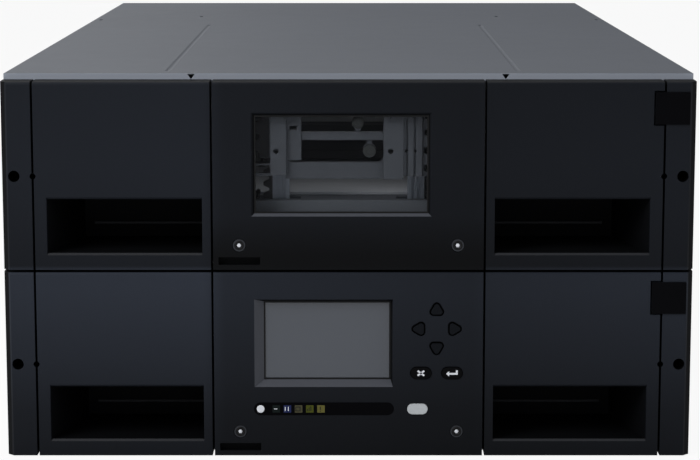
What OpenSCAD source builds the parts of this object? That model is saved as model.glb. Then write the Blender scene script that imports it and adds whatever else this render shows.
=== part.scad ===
/* [Overall size] */
// Width across the front panels, from ear to ear
panel_w = 482.6; // [478:0.1:500]
// Height of one module, three rack units
module_h = 133.35; // [132:0.05:140]
// Depth from the badge faces to the rear handles
overall_d = 892; // [880:1:960]
// Distance of the rack screws from the outer edge of an ear
rack_hole_inset = 8.75; // [7:0.05:10.5]
// Radius of the rack screw holes
rack_hole_r = 4; // [3:0.1:4.5]
// Height of the top cover over the highest front panel
cover_rise = 3.3; // [2.6:0.1:5]

/* [Front panels] */
// Thickness of the moulded front panels, front to back
panel_d = 19; // [17:0.5:22]
// Wall of the moulded front panels
panel_wall = 2.4; // [1.8:0.1:3]
// Width of the gap between two front panels
seam = 1.5; // [0.8:0.1:1.8]
// Width of the centre panel, seam to seam
center_w = 190.6; // [188:0.1:193]
// Width of an ear, from its seam to the outer edge
ear_w = 21.8; // [21:0.1:22.5]
// Radius of the rounded upper front edge
edge_r = 2.4; // [1:0.1:3]
// Chamfer of the outer front edge of an ear
ear_chamfer = 4.5; // [2:0.1:4.8]
// Radius of the magazine release holes
release_r = 2.1; // [1:0.1:2.5]

/* [Badges] */
// Width of a badge
badge_w = 24; // [20:0.5:25]
// Height of a badge
badge_h = 22.5; // [15:0.5:24]
// Distance of the badge's centre below its module's top
badge_drop = 19.15; // [17:0.05:24]
// Distance of the badge's centre from the panel's outer edge
badge_inset = 16.8; // [16:0.1:17.2]
// How far badges and keys stand out of the front face
proud = 1; // [0.5:0.1:1.5]

/* [Handle pockets] */
// Gap between the pocket mouth and the outer seam
pocket_margin = 9.2; // [8.6:0.1:14]
// Height of a pocket
pocket_h = 38; // [30:0.5:45]
// Height of the pocket floor above the module's bottom
pocket_z = 12.5; // [10:0.5:20]
// Depth of a pocket
pocket_d = 77; // [60:1:90]
// How much the outer end of a pocket tapers in over its depth
pocket_taper = 18; // [5:1:40]
// Chamfer along the upper and lower edge of a pocket's mouth
mouth_chamfer = 1.4; // [0.5:0.1:2.2]
// Gap between the pocket mouth and the centre seam
pocket_inset = 6.7; // [6:0.1:8]
// Wall of the pocket tub
pocket_wall = 1.2; // [1:0.1:1.2]

/* [Finger slots] */
// Width of the finger slot low on a centre panel
slot_open_w = 29; // [20:0.5:34]
// Height of the finger slot
slot_open_h = 5.4; // [4:0.1:6.4]
// Depth of the finger slot
slot_open_d = 6; // [3:0.5:9]
// Height of the finger slot's lower edge above the module's bottom
slot_open_z = 4.3; // [4.2:0.1:4.8]
// Distance of the finger slot from the panel's left edge
slot_open_inset = 3.8; // [3.6:0.1:6]

/* [Window] */
// Width of the window opening
window_w = 125.6; // [110:0.1:128]
// Height of the window opening
window_h = 72.7; // [50:0.1:74]
// Height of the window's lower edge above the module's bottom
window_z = 38.5; // [36:0.1:42]
// Offset of the window's centre from the middle
window_x = -4.9; // [-6:0.1:0]
// Width of the bevel round the window
window_bevel = 2.2; // [1:0.1:3]
// Thickness of the window pane
pane_t = 2; // [1:0.1:3]

/* [Control panel] */
// Width of the display recess
recess_w = 97.4; // [90:0.1:99]
// Height of the display recess
recess_h = 62.8; // [58:0.1:64]
// Height of the recess's lower edge above the module's bottom
recess_z = 50.3; // [48:0.1:52]
// Offset of the recess's left edge from the middle
recess_x = -66.1; // [-68:0.1:-64]
// Width of the screen opening
screen_w = 89.4; // [80:0.1:90]
// Height of the screen opening
screen_h = 56.2; // [52:0.1:57]
// Distance from the recess's left edge to the screen
screen_left = 6.5; // [4:0.1:7]
// Distance from the recess's lower edge to the screen
screen_low = 4.4; // [3:0.1:5]
// Depth of the screen behind the front face
screen_depth = 5; // [3:0.1:8]
// Offset of the arrow key group from the middle
keys_x = 62; // [61:0.1:63]
// Height of the arrow key group's centre above the module's bottom
keys_z = 92.1; // [91:0.1:94]
// Distance of the left and right keys from the group's centre
keys_pitch_x = 12.2; // [12:0.1:13.4]
// Distance of the up and down keys from the group's centre
keys_pitch_z = 13.4; // [12.6:0.1:13.6]
// Size of an arrow key across its triangle
arrow_size = 7.4; // [7:0.1:8.6]
// Gap round an arrow key
arrow_gap = 1.2; // [0.5:0.05:1.5]
// Width of the cancel and enter keys
oval_w = 14.4; // [12:0.1:15]
// Height of the cancel and enter keys
oval_h = 8.2; // [6:0.1:9]
// Height of the cancel and enter keys above the module's bottom
oval_z = 60.4; // [58:0.1:62]
// Distance between the cancel and enter keys
oval_pitch = 21.9; // [20:0.1:23]
// Width of the power button
power_w = 14.4; // [12:0.1:16]
// Height of the power button
power_h = 7.6; // [6:0.1:9]
// Offset of the power button from the middle
power_x = 48.7; // [47:0.1:50]
// Height of the power button and the indicator strip above the module's bottom
power_z = 34.5; // [33:0.1:36]
// Travel of the keys
key_travel = 0.8; // [0.4:0.1:0.8]
// Gap round the oval keys
key_gap = 0.35; // [0.25:0.05:0.5]
// Width of the indicator strip
strip_w = 98.5; // [96:0.1:99]
// Height of the indicator strip
strip_h = 9; // [8:0.1:10]
// Offset of the indicator strip's left end from the middle
strip_x = -66.5; // [-68:0.1:-65]
// Side of an indicator symbol
icon = 5.4; // [3:0.1:6]
// Distance between two indicator symbols
icon_pitch = 7.9; // [7:0.1:8.2]
// Radius of the head of a centre panel screw
screw_r = 4.4; // [3:0.1:4.6]
// Distance of a centre panel screw from the middle
screw_x = 76.4; // [75:0.1:78]
// Height of a centre panel screw above the module's bottom
screw_z = 18; // [16:0.1:20]

/* [Chassis] */
// Width between the chassis and the outer edge of an ear, on each side
side_room = 18.3; // [17:0.1:19]
// Thickness of the sheet metal
sheet = 1.2; // [1:0.1:1.4]
// Width of the folded flanges
flange = 12; // [8:0.5:14]
// Width of the open aisle for the robot
aisle_w = 200; // [196:0.5:203]
// How far the rear handles stand out of the rear panel
handle_out = 14; // [10:0.5:18]
// Clearance between a sliding piece and its seat
slide_gap = 0.3; // [0.2:0.05:0.4]

/* [Top cover] */
// Offset of the left crease of the top cover
crease_left = -128; // [-140:1:-110]
// Offset of the right crease of the top cover
crease_right = 120; // [110:1:140]
// Length of the creases
crease_l = 489; // [300:1:600]
// Distance of the creases behind the cover's front edge
crease_y = 20; // [10:1:60]
// Radius of the pressed creases
crease_r = 3; // [2:0.1:5]
// Length of a slot in the top cover
slot_l = 12; // [6:0.5:20]
// Width of a slot in the top cover
slot_w = 3; // [2:0.1:6]
// Distance of the outer slots from the cover's side edges
slot_edge = 6; // [5:0.5:12]
// Distance of the outer slots behind the cover's front edge
slot_outer_y = 581; // [500:1:600]
// Distance of the inner slots from the cover's side edges
slot_in = 98; // [80:1:120]
// Distance of the inner slots behind the cover's front edge
slot_inner_y = 633; // [605:1:650]

/* [Magazines] */
// Free height over the cells of a magazine
mag_head = 13.15; // [10:0.05:16]
// Number of tiers in a magazine
tiers = 5; // [3:1:5]
// Width of one cartridge column
column_w = 108; // [107.6:0.1:110]
// Number of columns in a magazine
columns = 4; // [2:1:4]
// Width between a magazine and the chassis wall
guide_room = 10.3; // [9:0.1:12]
// Gap between a magazine's open side and the robot's platform
robot_gap = 10; // [8:0.5:12]
// Thickness of the cell walls
cell_wall = 1.5; // [1:0.1:2]
// Width of the ledges that carry a cartridge
ledge_w = 7; // [4:0.1:12]
// Thickness of the ledges
ledge_t = 1.2; // [0.8:0.1:2]
// Thickness of the comb strips that hold the ledges
comb_t = 0.8; // [0.5:0.1:1]
// Height of the side runner of a magazine
runner_h = 6; // [4:0.1:8]
// Height of the runner's centre above the release holes
runner_rise = 15.325; // [15:0.005:22]
// How far the runner stands out of the magazine
runner_w = 5; // [3:0.1:6]

/* [Robot] */
// Module of the lift racks and pinions
gear_m = 2.6; // [2.4:0.1:2.7]
// Number of teeth on a lift pinion
pinion_teeth = 9; // [8:1:9]
// Play between the rack and pinion teeth
backlash = 0.25; // [0.1:0.05:0.4]
// Distance of the racks' pitch line from the middle
rack_x = 58.5; // [58:0.1:59]
// Width of the racks, front to back
rack_d = 7; // [5:0.1:8]
// Radius of the lift shafts
shaft_r = 2.5; // [2:0.1:2.5]
// Height of the platform's upper face at rest
deck_z = 180; // [176:0.5:182]
// Thickness of the platform frame
deck_t = 9; // [8:0.1:10]
// Width of the platform's side beams
beam_w = 7; // [5:0.1:7.5]
// Clearance between a lift pinion and the platform's side beam
beam_gap = 3.15; // [1:0.05:5]
// Depth of the platform's outer cross beams
beam_d = 10; // [6:0.5:11]
// Depth of the gaps in the platform that the racks pass through
rack_room = 13; // [12:0.5:14]
// Length of the shuttle plate in front of the picker's axis
shuttle_front = 84; // [60:1:86]
// Length of the shuttle plate behind the picker's axis
shuttle_back = 56; // [40:1:57]
// Thickness of the shuttle plate
shuttle_t = 2; // [1.5:0.1:2.4]
// Width of the cartridge picker
picker_w = 110; // [109:0.1:110.4]
// Length of the cartridge picker
picker_l = 108; // [100:0.5:108]
// Height of the cartridge picker
picker_h = 22.6; // [20:0.1:22.8]
// Wall of the cartridge picker
picker_wall = 1.5; // [1:0.1:2]
// Radius of the picker's bearing spigot
spigot_r = 10; // [6:0.5:16]

/* [Rear modules] */
// Width of a drive sled
sled_w = 146; // [144:0.5:148]
// Height left over and under the three drive bays of a module
bay_room = 4.35; // [3:0.05:6]
// Length of a drive sled inside the chassis
sled_l = 334; // [300:1:336]
// Depth of the cartridge mouth in a drive
mouth_d = 60; // [40:1:120]
// Width of the cartridge mouth in a drive
mouth_w = 107; // [106:0.1:112]
// Height of the cartridge mouth in a drive
mouth_h = 23; // [22.5:0.1:26]
// Width of a power supply
supply_w = 104; // [90:1:110]
// Height of a power supply
supply_h = 41; // [40:0.5:60]
// Length of a power supply
supply_l = 210; // [150:1:260]
// Radius of a power supply fan
fan_r = 16; // [12:0.5:17]
// Width of the controller card's tray
card_w = 104; // [90:1:110]
// Height of the controller card's tray
card_h = 30; // [26:0.5:40]
// Length of the controller card's tray
card_l = 150; // [100:1:220]

/* [Hidden] */
$fn = 32;

half_w = panel_w / 2;
y_tip = -overall_d / 2;
y_face = y_tip + proud;
y_back = y_face + panel_d;
y_rear = overall_d / 2 - handle_out;

cover_x = half_w - 0.3;
skin_x = cover_x - sheet;
chassis_x = half_w - side_room;
wall_x = chassis_x - sheet;
top_z = 2 * module_h + cover_rise;
roof_z = top_z - sheet;
lip_h = 4.6;
nick_x = 110;
nick_w = 5;
nick_top = 0.4;
nick_h = 4;

center_x = center_w / 2;
ear_x = half_w - ear_w;
panel_low = seam / 2;
panel_top = module_h - seam / 2;
rack_hole_x = half_w - rack_hole_inset;
rack_hole_z = module_h / 2;

badge_x0 = half_w - badge_inset - badge_w / 2;
badge_x1 = badge_x0 + badge_w;
badge_z0 = module_h - badge_drop - badge_h / 2;
badge_z1 = badge_z0 + badge_h;
badge_tab = 3;

pocket_x0 = center_x + pocket_inset;
pocket_x1 = ear_x - pocket_margin;
pocket_end = y_face + pocket_d;

window_x0 = window_x - window_w / 2;
window_x1 = window_x + window_w / 2;
pane_y = y_face + panel_wall;
pane_lap = 3;

hang_y0 = pane_y + pane_t + 4;
hang_y1 = y_back - 2;
hang_top = panel_top - panel_wall;
slot_plate_w = 13.2;
hanger_w = 10.5;
cheek_w = 11;
right_w = 14;
groove_rail_w = 13;
tooth_w = 6.4;
hanger_x = window_x0 + slot_plate_w;
cheek_x = hanger_x + hanger_w;
tooth_x = window_x1 - tooth_w;
groove_x = tooth_x - groove_rail_w;
right_x = groove_x - right_w;
sill_low = 25;
sill_high = 36.5;
bar_low = 52.2;
bar_high = 57.9;
opening_r = 5;
plate_t = 2.4;
plate_rise = 39.5;
ledge_rises = [27.2, 34.6];
bracket_ledge = 1.8;
hanger_rise = 28;
cheek_rise = 38.1;
rail_rise = 27;
hole_rise = 44.7;
notch_rise = 67;
plate_pitch = 13;
cheek_slot = 59.5;
// Distance from the window's right side, height over its lower edge and radius
rollers = [[51.3, 65, 4.2], [43.2, 45, 4.6]];
notch_h = 5.4;
notch_pitch = 12.5;
groove_w = 1.6;
roller_arm = 3.6;

recess_x1 = recess_x + recess_w;
screen_x0 = recess_x + screen_left;
screen_x1 = screen_x0 + screen_w;
screen_z0 = recess_z + screen_low;
screen_z1 = screen_z0 + screen_h;
screen_y = y_face + screen_depth;
screen_lip = 1;
display_t = 8;

arrow_r = 1.8;
arrow_reach = (arrow_size - 2 * arrow_r) / 1.5;
key_flange = 1.2;
arrow_flange = arrow_gap + 0.9;
mark_room = 0.2;
key_back = pane_y + 4;
board_y = key_back + key_travel + 0.3;
board_t = 1.6;
boss_r = screw_r + panel_wall;
board_x1 = center_x - seam / 2 - panel_wall - 0.4;
lens_t = 2;
icon_first = 15.5;

mag_y0 = pocket_end + pocket_wall;
cell_pitch = column_w + cell_wall;
mag_y1 = mag_y0 + columns * cell_pitch + cell_wall;
mag_low = sheet + slide_gap;
mag_floor = mag_low + sheet;
mag_roof = module_h - mag_head;
tier = (mag_roof - mag_floor) / tiers;
mag_out = wall_x - guide_room;
runner_z = rack_hole_z + runner_rise;
lock_half = 7;
lock_w = 8.8;
lock_l = 27;
lock_bore = 9;
lock_fit = 0.6;
guide_start = 3;
guide_half = runner_h / 2 + 4;
guide_x0 = mag_out + slide_gap;

pinion_r = gear_m * pinion_teeth / 2;
addendum = 0.75 * gear_m;
pressure = 25;
pinion_x = rack_x + pinion_r;
deck_x = pinion_x + pinion_r + addendum + beam_gap + beam_w;
mag_in = deck_x + robot_gap;
rack_root = rack_x - addendum - backlash;
rack_back = rack_root - 2.4;
running_fit = 0.05;

deck_y0 = y_back + 2;
front_room = deck_y0 + beam_d;
front_rack_y = front_room + (rack_room - rack_d) / 2;
rail_y0 = front_room + rack_room;
inner_beam = 5;
drive_y = y_rear - sled_l;
deck_y1 = drive_y - 6;
rear_beam = 6;
rear_room = deck_y1 - rear_beam - rack_room;
rear_rack_y = rear_room + (rack_room - rack_d) / 2;
shaft_z = deck_z - deck_t + shaft_r + slide_gap;
shuttle_y = mag_y0 + cell_wall + column_w / 2;
shuttle_z = deck_z + slide_gap;
picker_z1 = deck_z - deck_t - 0.4;
picker_z0 = picker_z1 - picker_h;
grip_w = 40;
grip_h = 9;
finger_x = 12;
finger_w = 6;
finger_l = 24;
finger_h = 5;
finger_rise = 2;

bay_z0 = sheet + 0.8;
bay_h = (module_h - bay_room) / 3;
sled_h = bay_h - 1.4;
cage_x = sled_w / 2 + slide_gap;
supply_x1 = -wall_x + 6 + supply_w;
supply_x0 = supply_x1 - supply_w;
supply_z = sheet + slide_gap;
lug = 1.5;
fan_margin = 8;
fan_x = supply_x0 + fan_r + fan_margin;
fan_z = supply_z + supply_h / 2;
fan_bore_d = 14;
axle_r = 2;
inlet_inset = 18;
inlet_w = 24;
inlet_h = 18;
inlet_d = 16;
bail_inset = 44;
bail_w = 24;
drive_bail_w = 62;
flange_lap = 2;
port_w = 7;
port_h = 12;
port_d = 14;
port_x = [-62, -52];
socket_w = 15;
socket_h = 13;
socket_pitch = 20;
vent_pitch = 7;
vent_row = 22;
vent_l = 16;
vent_w = 3.2;
vent_count = 12;
vent_rows = 3;
vent_inset = 12;
vent_rise = 28;
fan_y = y_rear - 16;
card_x1 = wall_x - 6;
card_x0 = card_x1 - card_w;

charcoal = [0.13, 0.15, 0.18];
cover_grey = [0.42, 0.44, 0.47];
steel = [0.62, 0.64, 0.66];
black = [0.04, 0.04, 0.05];
robot_grey = [0.55, 0.58, 0.62];

module block(low, high) {
    translate(low) cube(high - low);
}

module along_x(x0, x1) {
    translate([x0, 0, 0]) rotate([90, 0, 90]) linear_extrude(x1 - x0) children();
}

// Extrudes a shape drawn in X and Z from y0 to y1
module along_y(y0, y1) {
    translate([0, y1, 0]) rotate([90, 0, 0]) linear_extrude(y1 - y0) children();
}

module rod_y(x, z, r, y0, y1) {
    along_y(y0, y1) translate([x, z]) circle(r);
}

module on_side(side) {
    if (side > 0) children();
    else mirror([1, 0, 0]) children();
}

module both_sides() {
    children();
    mirror([1, 0, 0]) children();
}

module at_level(level) {
    translate([0, 0, level * module_h]) children();
}

// A slot shape, round at both ends, centred on the origin
module stadium(w, h) {
    square([w - h, h], center = true);
    for (side = [-1, 1]) translate([side * (w - h) / 2, 0]) circle(h / 2);
}

function rounded_triangle(reach, r) = [
    for (corner = [90, 210, 330], turn = [-60:15:60])
        reach * [cos(corner), sin(corner)] + r * [cos(corner + turn), sin(corner + turn)]
];

// ---- Front panels ----

module panel_profile() {
    difference() {
        translate([y_face, panel_low]) square([panel_d, panel_top - panel_low]);
        difference() {
            translate([y_face - 1, panel_top - edge_r]) square(edge_r + 1);
            translate([y_face + edge_r, panel_top - edge_r]) circle(edge_r);
        }
    }
}

// A moulded panel from x0 to x1, hollow behind its front wall
module panel_shell(x0, x1) {
    difference() {
        along_x(x0, x1) panel_profile();
        block([x0 + panel_wall, pane_y, panel_low + panel_wall],
            [x1 - panel_wall, y_back + 1, panel_top - panel_wall]);
    }
}

module release_hole() {
    rod_y(ear_x, rack_hole_z, release_r, y_face - 1, y_back + 1);
}

module ear(side) {
    pocket_y = y_face + ear_chamfer + 1;
    difference() {
        union() {
            difference() {
                along_x(ear_x + seam / 2, half_w) panel_profile();
                block([ear_x + seam / 2 + panel_wall, pocket_y, panel_low + panel_wall],
                    [half_w - panel_wall, y_back + 1, panel_top - panel_wall]);
            }
            rod_y(rack_hole_x, rack_hole_z, rack_hole_r + panel_wall, pocket_y - 1, y_back);
            if (side > 0) block([badge_x0, y_face, badge_z0],
                [ear_x + seam, y_face + badge_tab, badge_z1]);
        }
        rod_y(rack_hole_x, rack_hole_z, rack_hole_r, y_face - 1, y_back + 1);
        release_hole();
        linear_extrude(module_h) polygon([[half_w + 1, y_face - 1],
            [half_w - ear_chamfer - 1, y_face - 1], [half_w + 1, y_face + ear_chamfer + 1]]);
    }
}

module placed_ear(level, side) {
    color(charcoal) at_level(level) on_side(side) ear(side);
}

module badges() {
    color(black) for (level = [0, 1]) at_level(level)
        block([badge_x0, y_tip, badge_z0], [badge_x1, y_face, badge_z1]);
}

// The plan of a handle pocket, or of its tub when wall is above 0
module pocket_plan(wall, mouth) {
    polygon([[pocket_x0 - wall, mouth], [pocket_x1 + wall, mouth],
        [pocket_x1 + wall, y_face], [pocket_x1 - pocket_taper + wall, pocket_end + wall],
        [pocket_x0 - wall, pocket_end + wall]]);
}

// The bevels over and under a pocket's mouth, drawn in Y and Z
module mouth_edges() {
    low = pocket_z - mouth_chamfer;
    high = pocket_z + pocket_h + mouth_chamfer;
    depth = y_face + mouth_chamfer;
    polygon([[depth, pocket_z], [y_face - 1, pocket_z], [y_face - 1, low], [y_face, low]]);
    polygon([[depth, high - mouth_chamfer], [y_face, high], [y_face - 1, high],
        [y_face - 1, high - mouth_chamfer]]);
}

module magazine_front(side) {
    difference() {
        union() {
            panel_shell(center_x + seam / 2, ear_x - seam / 2);
            translate([0, 0, pocket_z - pocket_wall])
                linear_extrude(pocket_h + 2 * pocket_wall) pocket_plan(pocket_wall, y_face);
        }
        translate([0, 0, pocket_z]) linear_extrude(pocket_h) pocket_plan(0, y_face - 1);
        along_x(pocket_x0, pocket_x1) mouth_edges();
        release_hole();
        if (side > 0) block([badge_x0 - seam / 2, y_face - 1, badge_z0 - seam / 2],
            [ear_x, y_back + 1, badge_z1 + seam / 2]);
    }
    if (side > 0) badge_notch_walls();
}

// Closes the panel's hollow round the notch for the badge tab
module badge_notch_walls() {
    x0 = badge_x0 - seam / 2 - panel_wall;
    z0 = badge_z0 - seam / 2 - panel_wall;
    z1 = badge_z1 + seam / 2 + panel_wall;
    difference() {
        block([x0, pane_y, z0], [ear_x - seam / 2, y_back, min(z1, panel_top - 1)]);
        block([x0 + panel_wall, y_face, z0 + panel_wall],
            [ear_x, y_back + 1, z1 - panel_wall]);
    }
}

module placed_front(level, side) {
    color(charcoal) at_level(level) on_side(side) magazine_front(side);
}

// A cut that narrows from the front face to the depth y1
module bevelled_opening(low, high, inner_low, inner_high, y1) {
    skin = 0.01;
    hull() {
        block([low[0], y_face - skin, low[1]], [high[0], y_face, high[1]]);
        block([inner_low[0], y1, inner_low[1]], [inner_high[0], y1 + skin, inner_high[1]]);
    }
}

module screw_boss(side) {
    rod_y(side * screw_x, screw_z, boss_r, y_face + 1, y_back);
}

module screw_holes() {
    for (side = [-1, 1]) {
        rod_y(side * screw_x, screw_z, screw_r + 0.3, y_face - 1, y_face + 2.6);
        rod_y(side * screw_x, screw_z, 2.3, y_face, y_back + 1);
    }
}

// The finger slot low on the left, or its tub when wall is above 0
module finger_slot(wall, front) {
    x0 = -center_x + seam / 2 + slot_open_inset;
    block([x0 - wall, front, slot_open_z - wall],
        [x0 + slot_open_w + wall, y_face + slot_open_d + wall,
        slot_open_z + slot_open_h + wall]);
}

module center_shell() {
    difference() {
        union() {
            panel_shell(-center_x + seam / 2, center_x - seam / 2);
            for (side = [-1, 1]) screw_boss(side);
            finger_slot(pocket_wall, y_face + 1);
            children(0);
        }
        screw_holes();
        finger_slot(0, y_face - 1);
        children(1);
    }
}

module window_panel() {
    bevel = [window_bevel, window_bevel];
    low = [window_x0, window_z];
    high = [window_x1, window_z + window_h];
    color(charcoal) at_level(1) center_shell() {
        union() {}
        bevelled_opening(low, high, low + bevel, high - bevel, pane_y);
    }
}

module window_pane() {
    color([0.5, 0.55, 0.6, 0.4]) at_level(1)
        block([window_x0 + window_bevel - pane_lap, pane_y, window_z + window_bevel - pane_lap],
            [window_x1 - window_bevel + pane_lap, pane_y + pane_t,
            window_z + window_h - window_bevel + pane_lap]);
}

module arrow_shape(turn, grow) {
    rotate(turn) polygon(rounded_triangle(arrow_reach, arrow_r + grow));
}

// Puts a shape drawn round the origin at the place of a named key
module at_key(x, z) {
    translate([x, z]) children();
}

// The holes for the keys in the panel
module key_holes() {
    at_key(keys_x, keys_z + keys_pitch_z) arrow_shape(0, arrow_gap);
    at_key(keys_x, keys_z - keys_pitch_z) arrow_shape(180, arrow_gap);
    at_key(keys_x - keys_pitch_x, keys_z) arrow_shape(90, arrow_gap);
    at_key(keys_x + keys_pitch_x, keys_z) arrow_shape(-90, arrow_gap);
    for (side = [-1, 1]) at_key(keys_x + side * oval_pitch / 2, oval_z)
        stadium(oval_w + 2 * key_gap, oval_h + 2 * key_gap);
    at_key(power_x, power_z) stadium(power_w + 2 * key_gap, power_h + 2 * key_gap);
}

module strip_shape(grow) {
    translate([strip_x + strip_w / 2, power_z])
        stadium(strip_w + 2 * grow, strip_h + 2 * grow);
}

board_bosses = [[keys_x - 22, keys_z + 14], [board_x1 - 6, keys_z + 14],
    [board_x1 - 6, power_z], [recess_x + 6, power_z - 10]];

module control_panel() {
    color(charcoal) center_shell() {
        union() {
            block([recess_x - panel_wall, y_face + 1, recess_z - panel_wall],
                [recess_x1 + panel_wall, screen_y + screen_lip, recess_z + recess_h + panel_wall]);
            for (spot = board_bosses) rod_y(spot[0], spot[1], 2.6, y_face + 1, board_y);
        }
        union() {
            bevelled_opening([recess_x, recess_z], [recess_x1, recess_z + recess_h],
                [screen_x0, screen_z0], [screen_x1, screen_z1], screen_y);
            block([screen_x0, screen_y - 1, screen_z0], [screen_x1, screen_y + 3, screen_z1]);
            along_y(y_face - 1, pane_y + 1) key_holes();
            along_y(y_face - 1, pane_y + 1) strip_shape(0);
        }
    }
}

module panel_screws() {
    color(steel) for (level = [0, 1], side = [-1, 1]) at_level(level) difference() {
        union() {
            rod_y(side * screw_x, screw_z, screw_r, y_face + 0.6, y_face + 2.6);
            rod_y(side * screw_x, screw_z, 2, y_face + 2, y_back);
        }
        along_y(y_face, y_face + 1.6) translate([side * screw_x, screw_z])
            circle(2.1, $fn = 6);
    }
}

module display() {
    lap = 1.5;
    color([0.32, 0.36, 0.4])
        block([screen_x0 - lap, screen_y + screen_lip, screen_z0 - lap],
            [screen_x1 + lap, screen_y + screen_lip + display_t, screen_z1 + lap]);
}

module control_board() {
    color([0.1, 0.35, 0.2]) difference() {
        difference() {
            block([recess_x - 4, board_y, power_z - 13],
                [board_x1, board_y + board_t, keys_z + 18]);
            block([screw_x - boss_r - 1, board_y - 1, 0],
                [board_x1 + 1, board_y + board_t + 1, screw_z + boss_r + 1]);
        }
        block([recess_x - 5, board_y - 1, power_z + 9],
            [screen_x1 + 4, board_y + board_t + 1, keys_z + 19]);
    }
}

module indicator_lens() {
    color(black) difference() {
        along_y(y_face - 0.2, y_face + lens_t) strip_shape(-0.05);
        for (spot = light_spots) along_y(y_face - 1, y_face + 1) translate(spot)
            square(spot == light_spots[0] ? 3 : icon, center = true);
    }
}

light_spots = [[strip_x + strip_h / 2, power_z],
    for (i = [0:4]) [strip_x + icon_first + i * icon_pitch, power_z]];

module status_lights() {
    color([0.2, 0.5, 0.3]) for (spot = light_spots) along_y(y_face - 0.2, y_face + 1)
        translate(spot) square(spot == light_spots[0] ? 2.9 : icon - 0.1, center = true);
}

// A key: a cap in the panel, a flange behind it and a stem to the board
module key(x, z) {
    along_y(y_tip + mark_room, pane_y + 0.1) at_key(x, z) children(0);
    along_y(pane_y + 0.1, pane_y + 1.1) at_key(x, z) children(1);
    rod_y(x, z, 1.5, pane_y + 1, key_back);
}

module arrow_key(x, z, turn) {
    color(charcoal) key(x, z) {
        arrow_shape(turn, 0);
        arrow_shape(turn, arrow_flange);
    }
}

module oval_key(x, z, w, h, paint) {
    color(paint) key(x, z) {
        stadium(w, h);
        stadium(w + 2 * key_flange, h + 2 * key_flange);
    }
}

// ---- Chassis and covers ----

// The folded tray of one module: floor, side walls, top flanges and ear plates
module tray(height) {
    both_sides() {
        block([wall_x, y_back, 0], [chassis_x, y_rear, height]);
        block([wall_x - flange, y_back + sheet, height - sheet],
            [wall_x, y_rear - sheet, height]);
        difference() {
            block([chassis_x, y_back, panel_low], [skin_x, y_back + sheet, module_h - 3]);
            rod_y(rack_hole_x, rack_hole_z, rack_hole_r, y_back - 1, y_back + sheet + 1);
        }
    }
}

module base_chassis() {
    color(steel) {
        tray(module_h);
        block([-wall_x, y_back, 0], [wall_x, y_rear, sheet]);
    }
}

module expansion_chassis() {
    lip_z = top_z - lip_h - sheet - module_h;
    color(steel) at_level(1) difference() {
        union() {
            tray(roof_z - module_h);
            both_sides() block([aisle_w / 2, y_back, 0], [wall_x, y_rear, sheet]);
            block([-aisle_w / 2, drive_y, 0], [aisle_w / 2, y_rear, sheet]);
        }
        both_sides() block([wall_x - flange, y_back - 1, lip_z - slide_gap],
            [chassis_x + 1, y_back + sheet + slide_gap, roof_z - module_h + 1]);
    }
}

module crease(x) {
    rod_y(x, top_z + crease_r - sheet / 2, crease_r, y_back + crease_y,
        y_back + crease_y + crease_l);
}

module top_cover() {
    slots = [[slot_edge, slot_outer_y], [slot_in, slot_inner_y]];
    color(cover_grey) difference() {
        union() {
            block([-cover_x, y_back, roof_z], [cover_x, y_rear + sheet, top_z]);
            block([-cover_x, y_back, top_z - lip_h - sheet], [cover_x, y_back + sheet, roof_z]);
            both_sides() block([skin_x, y_back + sheet, top_z - flange],
                [cover_x, y_rear + sheet, roof_z]);
            block([-skin_x, y_rear, top_z - lip_h], [skin_x, y_rear + sheet, roof_z]);
        }
        crease(crease_left);
        crease(crease_right);
        both_sides() for (slot = slots)
            translate([cover_x - slot[0], y_back + slot[1], roof_z - 1])
                linear_extrude(sheet + 2) rotate(90) stadium(slot_l, slot_w);
        both_sides() along_y(y_back - 1, y_back + sheet + 1)
            polygon([[nick_x - nick_w / 2, top_z - nick_top],
                [nick_x + nick_w / 2, top_z - nick_top], [nick_x, top_z - nick_h]]);
    }
}

module side_cover() {
    y0 = y_back + sheet;
    difference() {
        block([chassis_x, y0, 0], [skin_x, y_rear, roof_z]);
        block([chassis_x - 1, y0 - 1, sheet], [skin_x - sheet, y_rear - sheet, roof_z - sheet]);
    }
}

module placed_side_cover(side) {
    color(cover_grey) on_side(side) side_cover();
}

// ---- Rear panels and rear modules ----

module bay_shape(bay, margin) {
    translate([-sled_w / 2 - margin, bay_z0 + bay * bay_h + 0.2 - margin])
        square([sled_w + 2 * margin, sled_h + 2 * margin]);
}

module vent_slots(x0, z0, count, rows) {
    for (i = [0:count - 1], row = [0:rows - 1])
        translate([x0 + i * vent_pitch, z0 + row * vent_row]) rotate(90)
            stadium(vent_l, vent_w);
}

module supply_opening() {
    translate([supply_x0 - slide_gap, sheet])
        square([supply_w + 2 * slide_gap, supply_h + 2 * slide_gap]);
}

module card_opening() {
    translate([card_x0 - slide_gap, sheet])
        square([card_w + 2 * slide_gap, card_h + 2 * slide_gap]);
}

module rear_panel(height, has_card) {
    color(steel) along_y(y_rear - sheet, y_rear) difference() {
        translate([-wall_x, sheet]) square([2 * wall_x, height - sheet]);
        for (bay = [0:2]) bay_shape(bay, 0.3);
        supply_opening();
        if (has_card) card_opening();
        for (x0 = [supply_x0, card_x0])
            vent_slots(x0 + vent_inset, supply_h + vent_rise, vent_count, vent_rows);
    }
}

// Two side plates and the shelves that carry three drive sleds
module drive_cage() {
    y1 = y_rear - sheet;
    both_sides() block([cage_x, drive_y, sheet], [cage_x + sheet, y1, module_h - 3]);
    for (bay = [0:3])
        block([-cage_x, drive_y, bay_z0 + bay * bay_h - 0.8],
            [cage_x, y1, bay_z0 + bay * bay_h]);
}

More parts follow.
